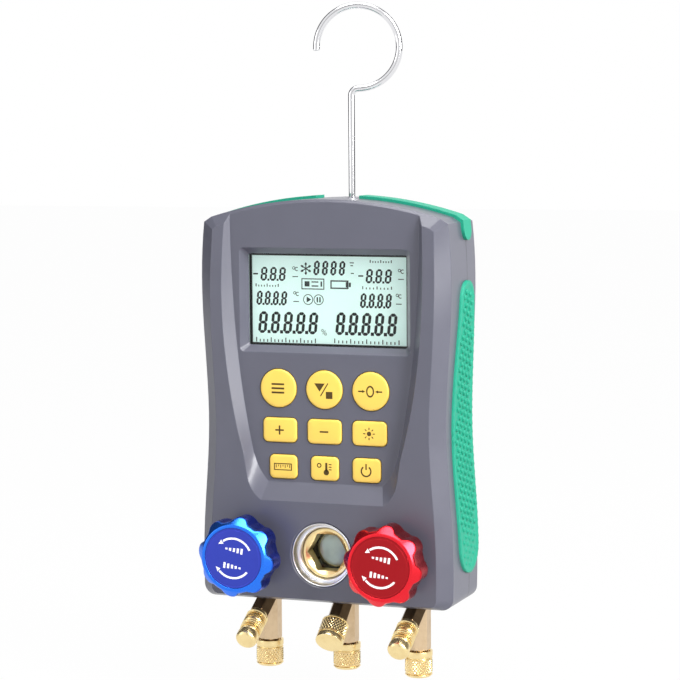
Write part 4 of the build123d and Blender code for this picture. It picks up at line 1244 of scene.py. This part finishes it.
# %% Bent wire
WIRE_RADIUS = 1.75
HEAD_RADIUS, HEAD_HEIGHT, HEAD_CHAMFER = 2.9, 1.5, 0.3
STEM_START, STEM_STEP = 10.0, 12.0
NECK_RADIUS, NECK_Z = 3.4, 151.45
LOOP_RADIUS, LOOP_Z, LOOP_END = 20.85, 175.7, 185.0
HOOK_DEPTH = 7.0
HOOK_FOOT = 80.0
HOOK_TURN = math.radians(20.0)
NECK_STEPS, LOOP_STEPS = 12, 96
TIP = ((0.5, 1.0), (0.22, 0.93), (0.06, 0.8), (0.0, 0.6))

# A station is the place along local x and z, the heading in degrees and the radius of the ring.
head_top = HOOK_FOOT + HEAD_HEIGHT
path = [(0.0, z, 90.0, radius) for z, radius in (
    (HOOK_FOOT, HEAD_RADIUS - HEAD_CHAMFER), (HOOK_FOOT + HEAD_CHAMFER, HEAD_RADIUS),
    (head_top - HEAD_CHAMFER, HEAD_RADIUS), (head_top, HEAD_RADIUS - HEAD_CHAMFER),
    (head_top, WIRE_RADIUS))]
path += [(0.0, HOOK_FOOT + STEM_START + STEM_STEP * step, 90.0, WIRE_RADIUS) for step in range(6)]
NECK_TURNS = [180.0 - 90.0 * step / NECK_STEPS for step in range(NECK_STEPS + 1)]
LOOP_TURNS = [-90.0 + (LOOP_END + 90.0) * step / LOOP_STEPS for step in range(1, LOOP_STEPS + 1)]
for radius, level, turns, way in ((NECK_RADIUS, NECK_Z, NECK_TURNS, -90.0),
                                  (LOOP_RADIUS, LOOP_Z, LOOP_TURNS, 90.0)):
    for turn in turns:
        angle = math.radians(turn)
        path.append((NECK_RADIUS + radius * math.cos(angle), level + radius * math.sin(angle), turn + way,
                     WIRE_RADIUS))
tip_x, tip_z, tip_turn, _ = path.pop()
angle = math.radians(tip_turn)
for inset, share in TIP:
    path.append((tip_x - inset * math.cos(angle), tip_z - inset * math.sin(angle), tip_turn,
                 WIRE_RADIUS * share))


def wire_ring(x, z, turn, radius, count=28):
    """A ring square to the path; the path lies in the plane of local x and z."""
    heading = math.radians(turn)
    side, across = Vector((math.sin(heading), 0.0, -math.cos(heading))), Vector((0.0, 1.0, 0.0))
    return [Vector((x, 0.0, z)) + side * u + across * v for u, v in around(count, radius)]


hook_plane = (math.cos(HOOK_TURN), math.sin(HOOK_TURN), 0.0)
hook_place = seat((0.0, -HOOK_DEPTH * MM, 0.0), (0.0, 0.0, 1.0), hook_plane)
rings = [wire_ring(*station) for station in path]
made = piece("hook_wire", *joined(rings), hook_place, "plated_steel", "hook", ["hook"])
print(made.name, len(made.data.polygons), "faces")


# %% [markdown]
# ## Grips
# Each soft grip has a smooth rolled rim and a sunken field full of drop-shaped bumps in slanting rows. The
# outer surface is sampled from the grip's own solid by rays, lowered away from the rim, and closed behind.
# The bumps are copies on seats that come from the same rays, each leaning with the surface.

# %% Soft grips
GRIP_MID = 24.0
GRIP_TOP, GRIP_FOOT = 60.3, -85.2
HEAD_ROUND, FOOT_ROUND = 10.0, 14.0
RIM_WIDTH, FIELD_DROP = 2.2, 0.45
ROLL_WIDTH, ROLL_DROP = 0.7, 0.55
WIDEST = cad_box[1].x / MM - 0.02
GRIP_THICKNESS = 2.6
# Half widths in side view at the waist and at the belly, the heights between which it swells, and the
# run below the belly over which it thins by a millimetre.
WAIST_SPREAD, BELLY_SPREAD = 10.0, 15.0
WAIST_Z, BELLY_Z, THINNING_RUN = 50.3, -26.0, 45.2
MISS_SHRINK, MISS_STEP = 0.97, 0.05
BUMP_COLUMN, BUMP_ROW = 2.75, 6.6
LOWEST_BUMP, ROW_SHIFT, BUMP_LEAN = 4.0, 0.62, 0.42
BUMP_HEIGHT, BUMP_TAIL, BUMP_CROWN, BUMP_HALF_WIDTH = 1.35, 2.0, 1.35, 1.1


def grip_half_depth(z):
    """Half width of the grip in side view: round ends and a gentle widening low down."""
    swell = min(max((WAIST_Z - z) / (WAIST_Z - BELLY_Z), 0.0), 1.0)
    spread = WAIST_SPREAD + (BELLY_SPREAD - WAIST_SPREAD) * math.sin(math.pi / 2 * swell)
    if z < BELLY_Z:
        spread = BELLY_SPREAD - ((BELLY_Z - z) / THINNING_RUN) ** 2
    if z > GRIP_TOP - HEAD_ROUND:
        spread = math.sqrt(max(HEAD_ROUND ** 2 - (z - GRIP_TOP + HEAD_ROUND) ** 2, 0.0))
    if z < GRIP_FOOT + FOOT_ROUND:
        spread = math.sqrt(max(FOOT_ROUND ** 2 - (z - GRIP_FOOT - FOOT_ROUND) ** 2, 0.0))
    return spread


def grip_stations():
    """Heights that crowd towards the round ends."""
    low, high = GRIP_FOOT + FOOT_ROUND, GRIP_TOP - HEAD_ROUND
    inner = [low + (high - low) * step / 60 for step in range(61)]
    foot = [low - FOOT_ROUND * math.sin(math.pi / 2 * step / 14) for step in range(14, 0, -1)]
    head = [high + HEAD_ROUND * math.sin(math.pi / 2 * step / 12) for step in range(1, 13)]
    return foot + inner + head


grip_edge = [(side * grip_half_depth(z), z) for side in (-1, 1) for z in grip_stations()]


def rim_distance(across, z):
    return min(math.hypot(across - u, z - v) for u, v in grip_edge[::2])


def side_hit(tree, sign, across, z):
    """First point of the grip met from its side; a ray that misses at the edge moves inwards."""
    for attempt in range(30):
        start = Vector((sign * 0.1, -(GRIP_MID + across) * MM, z * MM))
        spot, normal, _, _ = tree.ray_cast(start, Vector((-sign, 0.0, 0.0)))
        if spot:
            break
        across *= MISS_SHRINK
        z += math.copysign(MISS_STEP, (GRIP_TOP + GRIP_FOOT) / 2 - z)
    return spot, normal


def grip_shell(node, tree, sign):
    """Rings of the grip from foot to head, each its outer face and a plain back."""
    columns = [math.sin(math.pi / 2 * step / 16) for step in range(-16, 17)]
    rings = []
    for z in grip_stations():
        half = max(grip_half_depth(z), 0.05)
        front, back = [], []
        for share in columns:
            across = half * share
            reach = abs(side_hit(tree, sign, across, z)[0].x) / MM
            away = rim_distance(across, z)
            drop = ROLL_DROP * max(1.0 - away / ROLL_WIDTH, 0.0) ** 2
            step_in = min(max(away - RIM_WIDTH, 0.0), 1.0)
            drop += FIELD_DROP * step_in * step_in * (3.0 - 2.0 * step_in)
            front.append((sign * (reach - drop), -(GRIP_MID + across), z))
            back.append((sign * (reach - GRIP_THICKNESS), -(GRIP_MID + across), z))
        rings.append(front + back[::-1])
    piece(node + "_shell", *joined(rings), Matrix.Scale(MM, 4), "grip_rubber", "case", [node], angle=60.0)


def bump_seats(tree, sign):
    """Seats in slanting rows over the field, sunk so that no bump is wider than the gauge."""
    seats = []
    for column in range(-5, 6):
        for row in range(-1, int((GRIP_TOP - GRIP_FOOT) / BUMP_ROW) + 1):
            across = column * BUMP_COLUMN
            z = GRIP_FOOT + LOWEST_BUMP + (row + column * ROW_SHIFT % 1.0) * BUMP_ROW
            if abs(across) >= grip_half_depth(z) or rim_distance(across, z) < RIM_WIDTH + 1.5:
                continue
            spot, normal = side_hit(tree, sign, across, z)
            outward = normal if normal.x * sign > 0 else -normal
            sink = max(FIELD_DROP + 0.1, abs(spot.x) / MM + BUMP_HEIGHT - WIDEST)
            seats.append((spot - outward * sink * MM, outward, (0.0, -BUMP_LEAN * sign, 1.0)))
    return seats


def bump_template():
    """A drop: a rounded heap that is longer below its top than above."""
    drop = [((BUMP_TAIL if along < 0 else BUMP_CROWN) * along, BUMP_HALF_WIDTH * across)
            for along, across in around(10)]
    return joined([[(reach * along, reach * across, level) for along, across in drop]
                   for level, reach in ((0.0, 1.0), (0.65, 0.9), (1.1, 0.62), (BUMP_HEIGHT, 0.25))])


for node, sign in (("left_grip", -1), ("right_grip", 1)):
    tree = ray_mesh(node)
    grip_shell(node, tree, sign)
    seats = bump_seats(tree, sign)
    bumps = copies(node + "_bumps", seats, bump_template(), "grip_rubber", "case", angle=80.0)
print("grip bump faces:", len(bumps.data.polygons))


# %% [markdown]
# ## Screws
# Four screws hold the case halves together from behind and one holds the battery cover. A template is
# turned from rings, with a cross pressed into its head, and the copies tree sets it in its holes.

# %% Screws
CROSS_REACH, CROSS_HALF = 0.6, 0.15
CROSS_TAPER = 0.72


def cross_limit(angle, head):
    """Outline of a cross recess in a head of the given radius."""
    turn = (angle + math.pi / 4) % (math.pi / 2) - math.pi / 4
    side = abs(math.sin(turn))
    along = CROSS_REACH * head / math.cos(turn)
    return min(along, CROSS_HALF * head / side) if side > 1e-6 else along


def screw_template(length, shaft, head, height, count=48):
    """A screw along -z with its head at the origin and a tapered cross pressed into it."""
    outer = ((0.6 * shaft, -length), (shaft, -length + 0.8), (shaft, -height), (head, -height),
             (head, -0.4 * height), (0.9 * head, -0.15 * height), (0.72 * head, 0.0))
    rings = [ring(count, level, lambda angle: radius) for radius, level in outer]
    for share, level in ((1.0, 0.0), (CROSS_TAPER, -0.6 * height)):
        rings.append(ring(count, level, lambda angle: share * cross_limit(angle, head)))
    return joined(rings)


def screws(node, body, places, shaft, head, height):
    low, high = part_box(node)
    seats = [((x * MM, high.y, z * MM), (0.0, 1.0, 0.0), (0.6, 0.0, 0.8)) for x, z in places]
    template = screw_template((high.y - low.y) / MM, shaft, head, height)
    return copies(node + "_crossed", seats, template, "steel", body, replaced=[node])


screws("case_screws", "case", ((52.0, 84.0), (-52.0, 84.0), (54.0, -88.0), (-54.0, -88.0)), 1.5, 2.9, 2.2)
made = screws("battery_cover_screw", "battery_cover", ((0.0, -44.5),), 1.25, 2.8, 1.0)
print(made.name, len(made.data.polygons), "faces")


# %% [markdown]
# ## Floor and light
# The gauge stands in a white studio, a little above the floor, because its caps come down when they are
# unscrewed. The world lights it softly from everywhere, and shows plain white to the camera and through
# glass. Mirrors see it white too, but for a few dark bands, so that the bright metal has something to
# reflect. A large soft box on the right lights the right bevel, one above lights the crown, and a weak one
# on the left opens the shadows.

# %% Studio
class Backdrop(Finish):
    """The world as a node tree, with the same small language as a finish."""

    def __init__(self):
        world = bpy.data.worlds.new("studio")
        bpy.context.scene.world = world
        world.use_nodes = True
        self.tree = world.node_tree


def dark_band(amount, azimuth, centre, half_width, soft=9.0):
    """Darkness of a range of directions round the gauge; angles in degrees."""
    off = azimuth.away_from(math.radians(centre))
    return (1.0 - (off - math.radians(half_width)) / math.radians(soft)).clamped() * amount


def plain_world():
    """White for the camera, banded for mirrors, and soft bluish light for everything else."""
    room = Backdrop()
    background = room.tree.nodes["Background"]
    background.inputs["Color"].default_value = (0.93, 0.95, 1.0, 1.0)
    background.inputs["Strength"].default_value = AMBIENT
    soft = Wire(room, background.outputs[0])
    towards = room.add("NewGeometry", out="Normal")
    across = room.add("SeparateXYZ", None, towards, out=0)
    ahead = room.add("SeparateXYZ", None, towards, out=1)
    azimuth = room.add("Math", {"operation": "ARCTAN2"}, across * -1.0, ahead)
    bands = dark_band(0.90, azimuth, 118.0, 22.0) + dark_band(0.92, azimuth, -98.0, 26.0)
    bands = (bands + dark_band(0.5, azimuth, 14.0, 5.0)).clamped()
    banded = room.tint(bands, WHITE, (0.02, 0.02, 0.025, 1.0))
    mirrored = room.add("Background", None, Color=banded)
    white = room.add("Background", None, Color=WHITE)
    glossy, camera_ray, through = [room.add("LightPath", out="Is " + kind + " Ray")
                                   for kind in ("Glossy", "Camera", "Transmission")]
    seen = room.add("MixShader", None, glossy, soft, mirrored)
    seen = room.add("MixShader", None, camera_ray.math("MAXIMUM", camera_ray, through), seen, white)
    room.tree.links.new(seen.socket, room.tree.nodes["World Output"].inputs["Surface"])


def soft_box(name, place, aim, width, height, power):
    light = bpy.data.lights.new(name, "AREA")
    light.shape = "RECTANGLE"
    light.size, light.size_y = width, height
    light.energy = power
    lamp = linked(name, light)
    lamp.location = place
    lamp.rotation_euler = (Vector(aim) - Vector(place)).to_track_quat("-Z", "Y").to_euler()


def pale_floor(z, glow):
    """The floor; glow is the share of plain white that the camera and mirrors see."""
    mesh = bpy.data.meshes.new("floor")
    mesh.from_pydata([(-4, -4, z), (4, -4, z), (4, 6, z), (-4, 6, z)], [], [(0, 1, 2, 3)])
    finish = Finish("floor", Roughness=0.9, Specular_IOR_Level=0.0)
    clouds = finish.noise(finish.place(), 60.0)
    finish.wire(Base_Color=finish.tint(clouds, shade(FLOOR_PALE, 0.98), shade(FLOOR_PALE, 1.0)))
    camera_ray = finish.add("LightPath", out="Is Camera Ray")
    glossy = finish.add("LightPath", out="Is Glossy Ray")
    seen = camera_ray.math("MAXIMUM", camera_ray, glossy) * glow
    white = finish.add("Emission", None, Color=WHITE, Strength=1.0)
    finish.surface(finish.add("MixShader", None, seen, Wire(finish, finish.shader.outputs[0]), white))
    mesh.materials.append(finish.material)
    piece = linked("floor", mesh)


AMBIENT = 0.34
FLOOR_PALE = (0.7, 0.7, 0.7)
FLOOR_GAP = 0.016
floor_z = cad_box[0].z - FLOOR_GAP
plain_world()
pale_floor(floor_z, 0.98)
soft_box("right_box", (1.22, -0.56, 0.62), (0.0, -0.03, 0.06), 0.5, 1.0, 32.0)
soft_box("top_box", (0.1, -0.35, 1.15), (0.0, -0.02, 0.05), 0.9, 0.6, 14.5)
soft_box("left_box", (-1.0, -0.9, 0.25), (0.0, -0.03, 0.0), 0.5, 0.9, 2.2)
bpy.context.scene.view_settings.view_transform = "Standard"
print("floor at", round(floor_z, 4))


# %% [markdown]
# ## Camera
# A long lens looks from the right and a little above. Its place follows from two angles, a distance and
# the point it looks at; a slight roll tips the picture clockwise by less than half a degree.

# %% Camera
CAMERA_TURN = math.radians(20.939)
CAMERA_RISE = math.radians(5.4122)
CAMERA_ROLL = math.radians(-0.4208)
CAMERA_DISTANCE = 1.17013
CAMERA_AIM = Vector((0.00813, -0.047, 0.03126))
LENS_LENGTH = 125.76

level = math.cos(CAMERA_RISE)
back = Vector((math.sin(CAMERA_TURN) * level, -math.cos(CAMERA_TURN) * level, math.sin(CAMERA_RISE)))
right = Vector((math.cos(CAMERA_TURN), math.sin(CAMERA_TURN), 0.0))
up = back.cross(right)
rolled_right = right * math.cos(CAMERA_ROLL) + up * math.sin(CAMERA_ROLL)
rolled_up = up * math.cos(CAMERA_ROLL) - right * math.sin(CAMERA_ROLL)
lens = bpy.data.cameras.new("camera")
lens.sensor_fit = "HORIZONTAL"
lens.sensor_width = 36.0
lens.lens = LENS_LENGTH
camera = linked("camera", lens)
turn = Matrix((rolled_right, rolled_up, back)).transposed().to_4x4()
camera.matrix_world = Matrix.Translation(CAMERA_AIM + back * CAMERA_DISTANCE) @ turn
bpy.context.scene.camera = camera
print("camera", CAMERA_DISTANCE, "m away")
